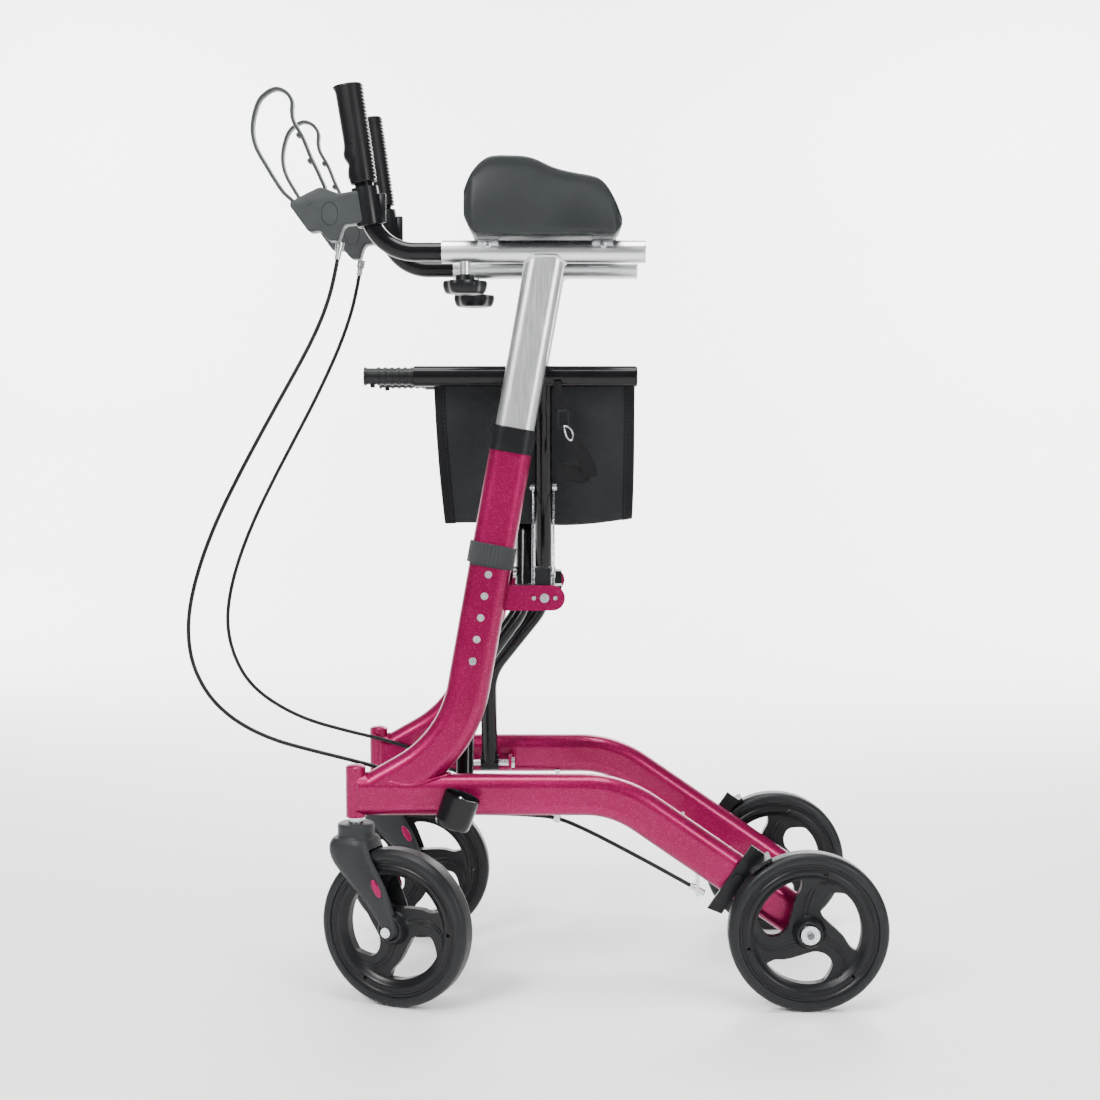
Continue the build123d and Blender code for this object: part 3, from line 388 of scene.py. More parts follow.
def spanned(tree, value, low, high):
    made = node(tree, "ShaderNodeMapRange", {"Value": value, "From Min": 0.3, "From Max": 0.7,
                                              "To Min": low, "To Max": high})
    return made.outputs[0]


def bumped(tree, shader, height, strength, distance):
    bump = node(tree, "ShaderNodeBump", {"Strength": strength, "Distance": distance * metre, "Height": height})
    tree.links.new(bump.outputs[0], shader.inputs["Normal"])


paintLook = {"deep": (0.17, 0.0002, 0.034), "bright": (0.29, 0.0008, 0.072), "flake": (0.80, 0.12, 0.36)}
plainLooks = {
    # name: (dark colour, light colour, roughness low and high, grain scale, bump strength, bump depth)
    "blackGloss": ((0.003, 0.003, 0.004), (0.006, 0.006, 0.007), (0.12, 0.24), 260.0, 0.10, 0.05),
    "blackPlastic": ((0.004, 0.004, 0.005), (0.008, 0.009, 0.010), (0.28, 0.40), 700.0, 0.18, 0.08),
    "greyPlastic": ((0.026, 0.029, 0.030), (0.040, 0.044, 0.046), (0.42, 0.56), 1600.0, 0.35, 0.12),
    "tyreRubber": ((0.006, 0.007, 0.008), (0.013, 0.014, 0.015), (0.34, 0.50), 500.0, 0.22, 0.10),
    "gripRubber": ((0.004, 0.004, 0.005), (0.008, 0.008, 0.009), (0.26, 0.40), 1100.0, 0.20, 0.08),
    "padSkin": ((0.013, 0.015, 0.016), (0.022, 0.025, 0.027), (0.40, 0.54), 1300.0, 0.45, 0.20),
    "cableJacket": ((0.004, 0.004, 0.005), (0.008, 0.008, 0.009), (0.28, 0.40), 900.0, 0.15, 0.05),
}


def makePaint(look):
    tree, shader = newFinish("magentaPaint", Metallic=0.6, Specular_IOR_Level=0.2, Coat_Weight=0.22,
                             Coat_Roughness=0.08)
    flakes = useGroup(tree, "flakes", Scale=1500.0, Share=0.88)
    base = blendColours(tree, flakes.outputs["Tone"], look["deep"], look["bright"])
    mix = node(tree, "ShaderNodeMix", {6: base, 7: (*look["flake"], 1)}, data_type="RGBA")
    tree.links.new(math2(tree, "MULTIPLY", flakes.outputs["Glint"], 0.45), mix.inputs[0])
    tree.links.new(mix.outputs[2], shader.inputs["Base Color"])
    tree.links.new(spanned(tree, flakes.outputs["Tone"], 0.30, 0.40), shader.inputs["Roughness"])
    bumped(tree, shader, flakes.outputs["Height"], 0.35, 0.06)


def makePlain(name, look):
    dark, light, rough, scale, strength, depth = look
    tree, shader = newFinish(name, Specular_IOR_Level=0.22)
    grain = useGroup(tree, "grain", Scale=scale, Mottle=22.0)
    tree.links.new(blendColours(tree, grain.outputs["Tone"], dark, light), shader.inputs["Base Color"])
    tree.links.new(spanned(tree, grain.outputs["Tone"], *rough), shader.inputs["Roughness"])
    bumped(tree, shader, grain.outputs["Height"], strength, depth)


def makeMetal(name, dark, light, rough, rotation, stretch):
    tree, shader = newFinish(name, Metallic=1.0)
    lines = useGroup(tree, "brushed", Rotation=rotation, Stretch=stretch)
    tree.links.new(blendColours(tree, lines.outputs["Tone"], dark, light), shader.inputs["Base Color"])
    tree.links.new(spanned(tree, lines.outputs["Height"], *rough), shader.inputs["Roughness"])
    bumped(tree, shader, lines.outputs["Height"], 0.12, 0.04)


def makeCloth(name, dark, light, threads, depth, sheen):
    tree, shader = newFinish(name, Sheen_Weight=sheen, Sheen_Roughness=0.5, Specular_IOR_Level=0.1)
    where = node(tree, "ShaderNodeUVMap", uv_map="cloth").outputs[0]
    weave = useGroup(tree, "weave", Vector=where, Threads=threads)
    # cloth colour runs from the dark colour in the weave's low places to the light one on the thread crowns: painted
    # shade
    tree.links.new(blendColours(tree, weave.outputs["Tone"], dark, light), shader.inputs["Base Color"])
    grain = useGroup(tree, "grain", Scale=300.0, Mottle=14.0)
    tree.links.new(spanned(tree, grain.outputs["Tone"], 0.62, 0.82), shader.inputs["Roughness"])
    bumped(tree, shader, weave.outputs["Height"], 0.8, depth)


makePaint(paintLook)
for name, look in plainLooks.items():
    makePlain(name, look)
makeMetal("anodised", (0.62, 0.63, 0.64), (0.80, 0.81, 0.82), (0.30, 0.42), (0, math.radians(-10.2), 0),
          (900, 900, 12))
makeMetal("armMetal", (0.60, 0.61, 0.62), (0.78, 0.79, 0.80), (0.26, 0.40), (0, 0, 0), (12, 900, 900))
makeMetal("zinc", (0.50, 0.52, 0.54), (0.74, 0.76, 0.78), (0.18, 0.34), (0, 0, 0), (300, 300, 300))
# each cloth's first colour is painted shade in the gaps between threads, the second the colour of the threads' crowns
makeCloth("meshCloth", (0.0015, 0.0015, 0.002), (0.022, 0.025, 0.027), 560.0, 0.35, 0.06)
makeCloth("bindingTape", (0.003, 0.003, 0.004), (0.009, 0.010, 0.011), 1400.0, 0.15, 0.04)
makeCloth("webbing", (0.002, 0.002, 0.003), (0.009, 0.009, 0.010), 900.0, 0.3, 0.05)
makeCloth("loopBand", (0.014, 0.016, 0.017), (0.032, 0.035, 0.036), 1100.0, 0.3, 0.15)
print("finishes made")

nodeFinishes = {
    "magentaPaint": ("rail", "upright"),
    "blackGloss": ("handle_tube", "cross_bar", "seat_tube"),
    "blackPlastic": ("collar", "saddle", "brake_shoe", "seat_plug"),
    "anodised": ("mast",),
    "armMetal": ("arm_tube", "pad_brackets"),
    "zinc": ("side_bolts", "fork_metal", "cable_adjuster", "stay"),
}


def dressNodes():
    # the CAD nodes that stay get their finish in every material slot
    chosen = {f"{stem}_{side}": finish for finish, stems in nodeFinishes.items() for stem in stems for side in sides}
    chosen["centre_pivot"] = "zinc"
    for name, finish in chosen.items():
        mesh = frame["nodes"][name].data
        mesh.materials.clear()
        mesh.materials.append(finishes[finish])


dressNodes()

# brake cables
cable = {"diameter": 5.0, "around": 12, "split": 7,
         "left": [(-275.5, -112, 885.5), (-281, -112.3, 855), (-294.5, -113.5, 815), (-314, -114.5, 775),
                  (-344, -116, 722), (-371.8, -117, 672.5), (-397.5, -117.6, 624.8), (-421.4, -118, 577),
                  (-440.6, -118, 529), (-454, -118, 482), (-458.3, -117.5, 441), (-453, -117, 402),
                  (-434, -116.5, 364), (-402, -116, 334), (-358, -115.5, 312), (-310, -115, 299),
                  (-262, -114.2, 287), (-222, -113.4, 276), (-192, -112.8, 252), (-163, -112.4, 230)],
         "right": [(-275.5, -112, 885.5), (-281, -112.3, 855), (-293.6, -113.5, 815.2), (-309.8, -114.5, 775.9),
                   (-335.3, -116, 723.4), (-363.6, -117, 670.8), (-392, -117.6, 617.9), (-418.4, -118, 564.9),
                   (-439.7, -118, 511.7), (-452, -118, 466), (-456, -117.5, 427), (-449, -117, 388),
                   (-430, -116.5, 350), (-398, -116, 322), (-352, -115.5, 298), (-298, -115, 283),
                   (-240, -114.2, 269.5), (-203, -113.2, 257), (-166, -112.4, 233)],
         "tail": [(-128, -112.5, 222.5), (-88, -113.2, 222.2), (-50, -115, 221), (-15, -119, 219),
                  (24, -123, 202.5), (62, -125, 183), (104, -125.4, 160.5), (144.7, -125, 137.5)]}


def splineLine(points):
    # the line of a NURBS spline of order 3 through its end points, read from Blender's own curve
    data = bpy.data.curves.new("route", "CURVE")
    data.dimensions, data.resolution_u = "3D", 10
    spline = data.splines.new("NURBS")
    spline.points.add(len(points) - 1)
    for place, point in zip(spline.points, points):
        place.co = (*point, 1)
    spline.order_u = 3
    spline.use_endpoint_u = True
    route = bpy.data.objects.new("route", data)
    bpy.context.scene.collection.objects.link(route)
    mesh = bpy.data.meshes.new_from_object(route.evaluated_get(bpy.context.evaluated_depsgraph_get()))
    line = np.zeros(len(mesh.vertices) * 3)
    mesh.vertices.foreach_get("co", line)
    bpy.data.objects.remove(route)
    line = line.reshape(-1, 3)
    return line[np.concatenate([[True], np.linalg.norm(np.diff(line, axis=0), axis=1) > 1e-6])]


def addCable(side):
    # one cable in two lengths, upper and lower, split halfway between two points of its route; each is baked in place
    route = np.array(cable[side] + cable["tail"]) * (1, sides[side], 1)
    split = cable["split"]
    middle = (route[split] + route[split + 1]) / 2
    lengths = {"upper": np.vstack([route[:split + 1], middle]), "lower": np.vstack([middle, route[split + 1:]])}
    for which, points in lengths.items():
        line = splineLine(points)
        tube = carry(line, ring(cable["diameter"] / 2, cable["around"]))
        piece = addPiece(f"brakeCable_{side}_{which}", [part(tube)], "cableJacket", slot="cable_sheath")
        if which == "lower":
            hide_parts(f"brake_cable_{side}")
        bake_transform(piece)


for side in sides:
    addCable(side)
print("cables laid")

# leaning uprights
mast = {"railY": 134.0, "railZ": 250.0, "axisX": -71.1, "axisZ": 656.0, "tilt": 10.2, "lean": 1.96,
        "long": 51.0, "wide": 30.0}


def mastSection(z, long, wide, around=72):
    # a slot outline square to the upright's axis, before it leans inboard
    tilt = math.radians(mast["tilt"])
    angle = np.linspace(0, 2 * np.pi, around, endpoint=False)
    halfFlat = (long - wide) / 2
    along = wide / 2 * np.cos(angle) + halfFlat * np.clip(np.cos(angle) * 8, -1, 1)
    across = np.asarray(wide) / 2 * np.sin(angle)
    x = mast["axisX"] + (z - mast["axisZ"]) * math.tan(tilt)
    return np.stack([x + along * math.cos(tilt), across - mast["railY"], z - along * math.sin(tilt)], -1)


def leaned(points):
    # turned inboard about the rail's centre line
    lean = math.radians(mast["lean"])
    y, z = points[..., 1] + mast["railY"], points[..., 2] - mast["railZ"]
    return np.stack([points[..., 0], y * math.cos(lean) + z * math.sin(lean) - mast["railY"],
                     z * math.cos(lean) - y * math.sin(lean) + mast["railZ"]], -1)


band = {"low": 523.0, "high": 548.0, "thick": 1.6, "overlap": 110, "start": -150}


def addBand():
    # hook-and-loop band: one turn and a lap, its radius growing by one thickness over the lap
    turns = np.linspace(0, 360 + band["overlap"], 130)
    step = np.clip((turns - 300) / 60, 0, 1)
    lift = band["thick"] * (0.75 + 1.05 * step * step * (3 - 2 * step))
    angle = np.radians(turns + band["start"])
    tilt = math.radians(mast["tilt"])
    grid, uv = [], []
    for z in (band["low"], band["low"] + 1.2, band["high"] - 1.2, band["high"]):
        half = mast["wide"] / 2 + lift
        along = half * np.cos(angle) + (mast["long"] - mast["wide"]) / 2 * np.clip(np.cos(angle) * 8, -1, 1)
        x = mast["axisX"] + (z - mast["axisZ"]) * math.tan(tilt)
        slant = 1.5 * np.sin(angle * 0.5)
        grid.append(np.stack([x + along * math.cos(tilt), half * np.sin(angle) - mast["railY"],
                              z + slant - along * math.sin(tilt)], -1))
        uv.append(np.stack([np.radians(turns) * 20, np.full_like(turns, z)], -1))
    piece = addPiece("fasteningBand", [part(leaned(np.array(grid)), closeColumns=False)], "loopBand", "side_left",
                     "black_webbing", ["fastening_band_left"], uv=np.array(uv), sharp=60)
    thick = piece.modifiers.new("cloth", "SOLIDIFY")
    thick.thickness, thick.offset = band["thick"] * metre, 0
    bevelled(piece, 0.4)


def weldBead(path, radius, ripples, side):
    # a closed bead: a round section that swells and shrinks along its path, leaning like laid coins
    count = len(path)
    angle = np.linspace(0, 2 * np.pi * ripples, count, endpoint=False)
    size = radius * (1 + 0.16 * np.abs(np.sin(angle / 2)) + 0.05 * np.sin(angle * 0.37))
    return part(carry(path, ring(np.repeat(size[:, None], 10, 1), 10), side, closed=True), closeRows=True)


weld = {"armRadius": 13.5, "armZ": 894.3, "count": 220, "footX": -193, "footZ": 260.3, "headX": -245.5, "headZ": 250}


def addWelds(side):
    # beads under the arm tube, at the upright's foot and round the head tube
    around = np.linspace(0, 2 * np.pi, weld["count"], endpoint=False)
    arm = leaned(mastSection(weld["armZ"] - 10, 47.0, 25.0, weld["count"]))
    centreY = arm[:, 1].mean()
    arm[:, 2] = weld["armZ"] - np.sqrt(np.maximum(weld["armRadius"] ** 2 - (arm[:, 1] - centreY) ** 2, 0)) - 0.3
    addPiece(f"armWeld_{side}", [weldBead(arm, 1.9, 34, (0, 0, 1))], "armMetal", f"mast_{side}", "silver_tube",
             side=sides[side])
    y = 14.6 * np.sin(around)
    foot = np.stack([weld["footX"] + 49 * np.cos(around), y - mast["railY"], weld["footZ"] + np.sqrt(225 - y ** 2)], -1)
    top = np.stack([weld["headX"] + 1.5 * np.abs(np.cos(around)), 9.6 * np.sin(around) - mast["railY"],
                    weld["headZ"] + 22.5 * np.cos(around)], -1)
    addPiece(f"frameWeld_{side}", [weldBead(foot, 1.8, 40, (0, 0, 1)), weldBead(top, 1.6, 26, (1, 0, 0))],
             "magentaPaint", f"side_{side}", "magenta_paint", side=sides[side])


# forearm pads
pad = {"low": 911.0, "half": 48.0, "floor": 938.0, "rows": 64, "front": -124.5, "rear": 60.5,
       "crestRound": 7.0, "rim": 11.5,
       "crestX": [-124.5, -119, -112, -100, -88, -50, -38, -22, 0, 28, 38, 48, 56, 60.5],
       "crestZ": [962, 975, 986, 998, 1001.5, 1000.5, 996.5, 987.5, 982, 977.5, 973, 958, 942, 930]}
armLow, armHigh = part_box("arm_tube_left")
armY = -(armLow.y + armHigh.y) / 2 / metre


def addPad(side):
    # rows run front to rear; each row is a closed outline of floor, outer flank, crest and trough,
    # drawn in towards its middle near both ends
    place = np.linspace(0, 1, pad["rows"])
    front, rear, top = pad["front"], pad["rear"], pad["crestRound"]
    ease = (1 - np.cos(np.pi * place)) / 2
    x = front + (rear - front) * ease
    crest = np.interp(x, pad["crestX"], pad["crestZ"])
    crest = np.convolve(np.pad(crest, 2, mode="edge"), np.ones(5) / 5, "valid")
    inset = np.maximum(0, 1 - (x - front) / 13) ** 2 * 13 + np.maximum(0, 1 - (rear - x) / 13) ** 2 * 13
    foot = pad["low"] + np.maximum(0, 1 - (x - front) / 16) ** 2 * 22 + np.maximum(0, 1 - (rear - x) / 10) ** 2 * 12
    u = np.linspace(0, 1, 10)
    half = (pad["half"] - inset)[:, None]
    low, high = foot[:, None], crest[:, None]
    wall = half - np.minimum(half - 3, pad["rim"])
    floor = np.minimum(pad["floor"] + np.maximum(0, inset[:, None] - 4), high - 8)
    flankY = half * (1 - 0.10 * (1 - np.sin(np.pi * (0.15 + 0.85 * u))))
    flankZ = low + (high - top - low) * u
    cap = np.linspace(0, np.pi, 9)[1:-1]
    crestY = (half + wall) / 2 - 1 + (half - wall) / 2 * np.cos(cap)
    crestZ = high - top + top * np.sin(cap)
    dish = np.linspace(np.pi / 2 * 0.98, 0, 12)
    dishY, dishZ = wall * np.sin(dish), floor + (high - top - floor) * (1 - np.cos(dish))
    rightY = np.hstack([flankY, crestY, dishY])
    rightZ = np.hstack([flankZ, crestZ, dishZ])
    outlineY = np.hstack([rightY, -rightY[:, ::-1][:, 1:]])
    outlineZ = np.hstack([rightZ, rightZ[:, ::-1][:, 1:]])
    base = np.linspace(-1, 1, 8)[1:-1]
    outlineY = np.hstack([outlineY, half * 0.9 * base])
    outlineZ = np.hstack([outlineZ, np.broadcast_to(low, (len(low), len(base)))])
    grid = np.stack([np.broadcast_to(x[:, None], outlineY.shape), outlineY - armY, outlineZ], -1)
    piece = addPiece(f"forearmPad_{side}", [part(grid)], "padSkin", f"mast_{side}", "pad_foam",
                     [f"arm_pad_{side}"], side=sides[side], sharp=80)
    soft = piece.modifiers.new("soft", "SUBSURF")
    soft.levels = soft.render_levels = 1


# handles
grip = {"lean": 8.6, "topX": -261.0, "topZ": 1089.0, "long": 116.0, "radius": 15.6}


def gripPoints(up):
    # places along the grip's axis, measured up from its lower end
    lean = math.radians(grip["lean"])
    down = grip["long"] - np.asarray(up, float)
    return np.stack([grip["topX"] + down * math.sin(lean), np.full_like(down, -armY),
                     grip["topZ"] - down * math.cos(lean)], -1)


def hump(values, centre, width):
    # a smooth hump of height 1
    return np.exp(-((values - centre) / width) ** 2)


def addGrip(side):
    # radius over height and angle: flared top, finger swells low in front, fine ribs behind, two long grooves
    up = np.concatenate([np.linspace(0, grip["long"] - 2, 150), np.full(3, grip["long"] - 1)])
    up[-3:] += (0.2, 0.7, 1.0)
    angle = np.linspace(0, 2 * np.pi, 72, endpoint=False)
    s, a = np.meshgrid(up / grip["long"], angle, indexing="ij")
    front = np.maximum(0, -np.cos(a))
    back = np.maximum(0, np.cos(a))
    radius = grip["radius"] + 1.0 * s + 3.4 * hump(s, 1.02, 0.055) * front ** 2
    radius += front ** 2 * (2.6 * hump(s, 0.30, 0.07) - 1.6 * hump(s, 0.20, 0.035) + 1.2 * hump(s, 0.09, 0.05))
    radius += 0.45 * np.sign(np.sin(2 * np.pi * s * 27)) * np.clip(4 * (back - 0.72), 0, 1) * (s < 0.97)
    drift = 0.9 * np.clip(0.45 - s, 0, 1) ** 1.2 * 3.2
    for sign in (-1, 1):
        for offset in (0.0, 0.16):
            radius -= 0.55 * hump(a, np.pi * (1 + sign * 0.5) - sign * (0.25 + offset + drift), 0.035)
    radius[-3:] -= np.array([[0.6], [1.6], [3.4]])
    radius[:2] -= np.array([[1.5], [0.4]])
    path = gripPoints(up)
    lean = math.radians(grip["lean"])
    rearward, sideways = np.array([math.cos(lean), 0, math.sin(lean)]), np.array([0, 1, 0])
    grid = path[:, None] + radius[..., None] * (np.cos(a)[..., None] * rearward + np.sin(a)[..., None] * sideways)
    addPiece(f"handGrip_{side}", [part(grid)], "gripRubber", f"handle_{side}", "grip_rubber", [f"grip_{side}"],
             side=sides[side], sharp=50)


housing = {"half": 14.0, "edge": 3.0, "oval": (-282.6, 937.7), "slot": 10.6,
           "slotX": (-345, -283), "slotZ": (932, 990),
           "outline": [(-329, 945.9), (-329, 951.6), (-311, 961), (-294, 969), (-286, 966.5), (-272, 961.3),
                       (-262, 963), (-250.6, 965), (-238, 964.6), (-236, 945), (-238, 929), (-252, 926.5),
                       (-266, 924.5), (-270, 915), (-272.4, 906.5), (-284.2, 906.3), (-290, 913), (-294.7, 918.2),
                       (-306.4, 915.7), (-311, 921)]}


def slab(outline, half, edge, count=5):
    # an XZ outline carried across Y, drawn in along its own normals by a quarter round near both faces
    line = np.asarray(outline, float)
    tangent = unit(np.roll(line, -1, 0) - np.roll(line, 1, 0))
    normal = np.stack([tangent[:, 1], -tangent[:, 0]], -1)
    nextLine = np.roll(line, -1, 0)
    if np.sum(line[:, 0] * nextLine[:, 1] - nextLine[:, 0] * line[:, 1]) < 0:
        normal = -normal
    quarter = np.linspace(0, np.pi / 2, count)
    depth, pull = half - edge + edge * np.cos(quarter), edge * (1 - np.sin(quarter))
    y, pull = np.concatenate([-depth, depth[::-1]]), np.concatenate([pull, pull[::-1]])
    flat = line[None] - pull[:, None, None] * normal[None]
    return np.stack([flat[..., 0], np.broadcast_to(y[:, None], flat.shape[:2]), flat[..., 1]], -1)


def blockMesh(x, y, z):
    # a plain box between two corners, as a cutting tool
    corners = [(x[0], y[0]), (x[1], y[0]), (x[1], y[1]), (x[0], y[1])]
    return part([[(*c, h) for c in corners] for h in z])


def addHousing(side):
    # rounded body with a slot for the lever, a clamp round the handle tube and an oval line on its flanks
    line = spread(np.vstack([housing["outline"], housing["outline"][:1]]).astype(float), 150)[:-1]
    line = smooth(line[::3], 120, closed=True)
    body = slab(line, housing["half"], housing["edge"]) - (0, armY, 0)
    half = housing["slot"]
    gap = blockMesh(housing["slotX"], (-armY - half, -armY + half), housing["slotZ"])
    piece = addPiece(f"brakeHousing_{side}", [part(body)], "greyPlastic", f"handle_{side}", "housing_plastic",
                     [f"brake_housing_{side}"], side=sides[side], sharp=30)
    cutOut(piece, [meshOf("slot", [mirrored(gap, side)])])
    axis = unit(gripPoints(grip["long"]) - gripPoints(0))
    clampProfile = [(11.3, -8.5), (14.0, -8.5), (15.4, -7.4), (15.8, -5), (15.8, -47), (15.4, -49.4), (14, -50.5),
                    (11.3, -50.5)]
    clamp = turned(clampProfile, gripPoints(0), axis, 64)
    oval = ring(1.0, 80) * (9.6, 13.4)
    ovals = [part(carry(np.stack([housing["oval"][0] + oval[:, 0], np.full(80, -armY + out * 14.0),
                                  housing["oval"][1] + oval[:, 1]], -1), ring(0.35, 8), closed=True), closeRows=True)
             for out in (-1, 1)]
    tie = boxy(4.2, 3.0, 5, 24)
    x, z = gripPoints(-29)[0], gripPoints(-29)[2]
    lug = np.stack([np.stack([x + 17.5 + tie[:, 0] * k, -armY + 0 * tie[:, 0] + tie[:, 1] * k, z + 0 * tie[:, 0]], -1)
                    + (0, 0, h) for h, k in ((-17, 0.8), (-16, 1), (16, 1), (17, 0.8))])
    addPiece(f"housingClamp_{side}", [part(clamp, closeRows=True), part(lug)], "blackPlastic", f"handle_{side}",
             "housing_plastic", side=sides[side])
    addPiece(f"housingLines_{side}", ovals, "blackPlastic", f"handle_{side}", "housing_plastic", side=sides[side])


lever = {"pivot": (-307.0, 951.0), "half": 9.6, "thick": 2.3, "bumps": ((-317, 1031), (-304, 1001)),
         "loop": [(-318, 948), (-331, 957), (-341.5, 968), (-357, 993), (-369.3, 1015), (-373.6, 1034.5),
                  (-371.2, 1055), (-363.5, 1073), (-348, 1083.5), (-335, 1080.5), (-327.3, 1070), (-327.2, 1056.5),
                  (-324.8, 1045), (-314.9, 1027.5), (-305.7, 1005), (-295, 982), (-288, 962), (-300, 949)]}


def addLever(side):
    # a strap loop: a rounded flat section round a closed line, a little narrower at its top
    line = smooth([(x, -armY, z) for x, z in lever["loop"]], 220, closed=True)
    width = lever["half"] * (1 - 0.18 * np.clip((line[:, 2] - 1000) / 85, 0, 1))
    section = np.stack([boxy(lever["thick"], w, 3.2, 32) for w in width])
    loop = carry(line, section, closed=True)
    x, z = lever["pivot"]
    boss = turned([(1, -14.8), (2.9, -14.8), (3, -9.6), (7.2, -9.6), (8, -8.8), (8, 8.8), (7.2, 9.6), (3, 9.6),
                   (2.9, 14.8), (1, 14.8)], (x, -armY, z), around=48)
    knuckles = [part(turned([(0.6, -8.2), (2.6, -7.4), (3.3, -5), (3.3, 5), (2.6, 7.4), (0.6, 8.2)],
                            (bx - 2.2, -armY, bz - 0.8), around=28)) for bx, bz in lever["bumps"]]
    addPiece(f"brakeLever_{side}", [part(loop, closeRows=True), part(boss)] + knuckles, "greyPlastic",
             f"lever_{side}", "lever_plastic", [f"brake_lever_{side}"], side=sides[side], sharp=50)


# clamp knob
knob = {"x": -124.6, "top": 867.5, "radius": 26.5, "lobes": 6}


def addKnob(side):
    # star knob: the radius waves with the angle and its lobes turn up at the tips
    angle = np.linspace(0, 2 * np.pi, 120, endpoint=False)
    star = 1 - 0.13 * (1 - np.cos(knob["lobes"] * angle)) / 2
    profile = [(0.1, -10), (0.45, -10.2), (0.62, -10.8), (0.8, -8.6), (0.96, -7.4), (1.0, -9.6), (0.99, -14),
               (0.93, -19.5), (0.84, -22.4), (0.7, -23), (0.45, -21.5), (0.2, -21.4), (0.05, -21.4)]
    grid = np.stack([np.stack([knob["radius"] * k * np.cos(angle) * (star if k > 0.5 else 1),
                               knob["radius"] * k * np.sin(angle) * (star if k > 0.5 else 1),
                               np.full_like(angle, h)], -1) for k, h in profile])
    place = np.array([knob["x"], -armY, knob["top"]])
    neck = turned([(4.2, -0.4), (10, -0.4), (11, -1.4), (11.5, -9), (13, -11)], place, (0, 0, 1), 48)
    addPiece(f"clampKnob_{side}", [part(grid + place), part(neck)], "blackPlastic", f"knob_{side}", "black_plastic",
             [f"clamp_knob_{side}"], side=sides[side], sharp=45)
    screw = turned([(1, 16), (3.8, 16), (3.8, -1), (1, -1)], place, (0, 0, 1), 32)
    addPiece(f"clampScrew_{side}", [part(screw)], "zinc", f"knob_{side}", "steel_hardware", side=sides[side])


# cane cup
cup = {"x": -133.0, "y": -171.3, "z": 238.0, "radius": 22.0, "tall": 40.0, "tilt": 20.0}


def addCup():
    # turned shell with a rolled lip, a rounded floor, and the screw that holds it to the rail
    tilt = math.radians(cup["tilt"])
    axis = np.array([math.sin(tilt), 0, math.cos(tilt)])
    r, h = cup["radius"], cup["tall"] / 2
    profile = [(0.6, -h), (r - 5.5, -h), (r - 2.6, -h + 0.8), (r - 1.2, -h + 3.2), (r - 0.7, -h + 8),
               (r - 0.2, h - 3), (r, h - 1.4), (r - 0.2, h - 0.3), (r - 1, h), (r - 1.9, h - 0.5),
               (r - 2.4, h - 3), (r - 3, -h + 6), (r - 5, -h + 3.2), (r - 8, -h + 2.4), (0.6, -h + 2.4)]
    centre = np.array([cup["x"], cup["y"], cup["z"]])
    addPiece("caneCup", [part(turned(profile, centre, axis, 96))], "blackGloss", "side_left", "black_plastic",
             ["cane_cup_left"])
    wall = centre + axis * 9 + np.array([0, r - 2.6, 0])
    screw = turned([(0.4, -3.0), (2.6, -2.8), (4.2, -1.4), (4.6, 0), (4.6, 0.6)], wall, (0, 1, 0), 32)
    addPiece("cupScrew", [part(screw)], "zinc", "side_left", "steel_hardware")


# wheels
wheel = {"radius": 95.0, "rim": 82.0, "ring": 64.0, "web": 5.5, "hub": 16.0, "hubHalf": 19.0,
         "spokeTurns": (0, 120, 240), "cutHalf": 30,
         "tear": [(0.84, -140), (0.68, -129), (0.51, -113), (0.41, -92), (0.41, -67), (0.58, -52), (0.79, -55),
                  (0.975, -71)]}
head = {"x": -256.0, "railY": 134.0, "trail": 54.0, "yaw": {"left": 22.0, "right": -3.0}}
rearAxle = {"x": 281.0, "y": 169.0, "z": 95.0}


def wheelParts():
    # turned in the plane of the page: x and z round the axle, y along it
    w = wheel
    half = [(w["hub"] - 3.5, w["hubHalf"]), (w["hub"] - 0.8, w["hubHalf"]), (w["hub"], w["hubHalf"] - 1),
            (w["hub"] + 1, 9.5), (w["hub"] + 4, w["web"] + 0.6), (w["hub"] + 7, w["web"]), (w["ring"] - 3, w["web"]),
            (w["ring"] + 1, w["web"] + 1.2), (w["ring"] + 4, 10.3), (w["ring"] + 6.5, 12.2), (w["ring"] + 9, 12.5),
            (w["ring"] + 11, 12.1), (w["ring"] + 12.2, 11.2), (w["ring"] + 14.2, 11.2), (w["ring"] + 15.4, 12.2),
            (w["rim"] - 0.2, 12.4), (w["rim"], 11.8)]
    profile = [(r, -y) for r, y in half] + [(r, y) for r, y in reversed(half)]
    return part(turned(profile, (0, 0, 0), (0, 1, 0), 180), closeRows=True)


def tearCutter(turn):
    # a hole between two spokes: its inner edge is a smooth line through the points, its outer edge an arc
    outer = wheel["ring"] - 1.5
    inside = [(outer * k * math.cos(math.radians(a + turn)), outer * k * math.sin(math.radians(a + turn)))
              for k, a in wheel["tear"]]
    arcAngle = np.radians(np.linspace(-80, -142, 16) + turn)
    arc = np.stack([outer * np.cos(arcAngle), outer * np.sin(arcAngle)], -1)
    line = smooth(np.vstack([arc[-1:], inside, arc[:1]]), 60)
    line = smooth(np.vstack([line[1:-1], arc]), 110, closed=True)
    return prism(line, wheel["cutHalf"])


def notchCutter(turn):
    # a small three-sided hole in the rim's ring
    angle = np.radians(turn + np.array([0, 120, 240]))
    centre = np.array([math.cos(math.radians(turn)), math.sin(math.radians(turn))]) * (wheel["ring"] + 9)
    tri = centre + 3.4 * np.stack([np.cos(angle), np.sin(angle)], -1)
    return prism(tri, wheel["cutHalf"])


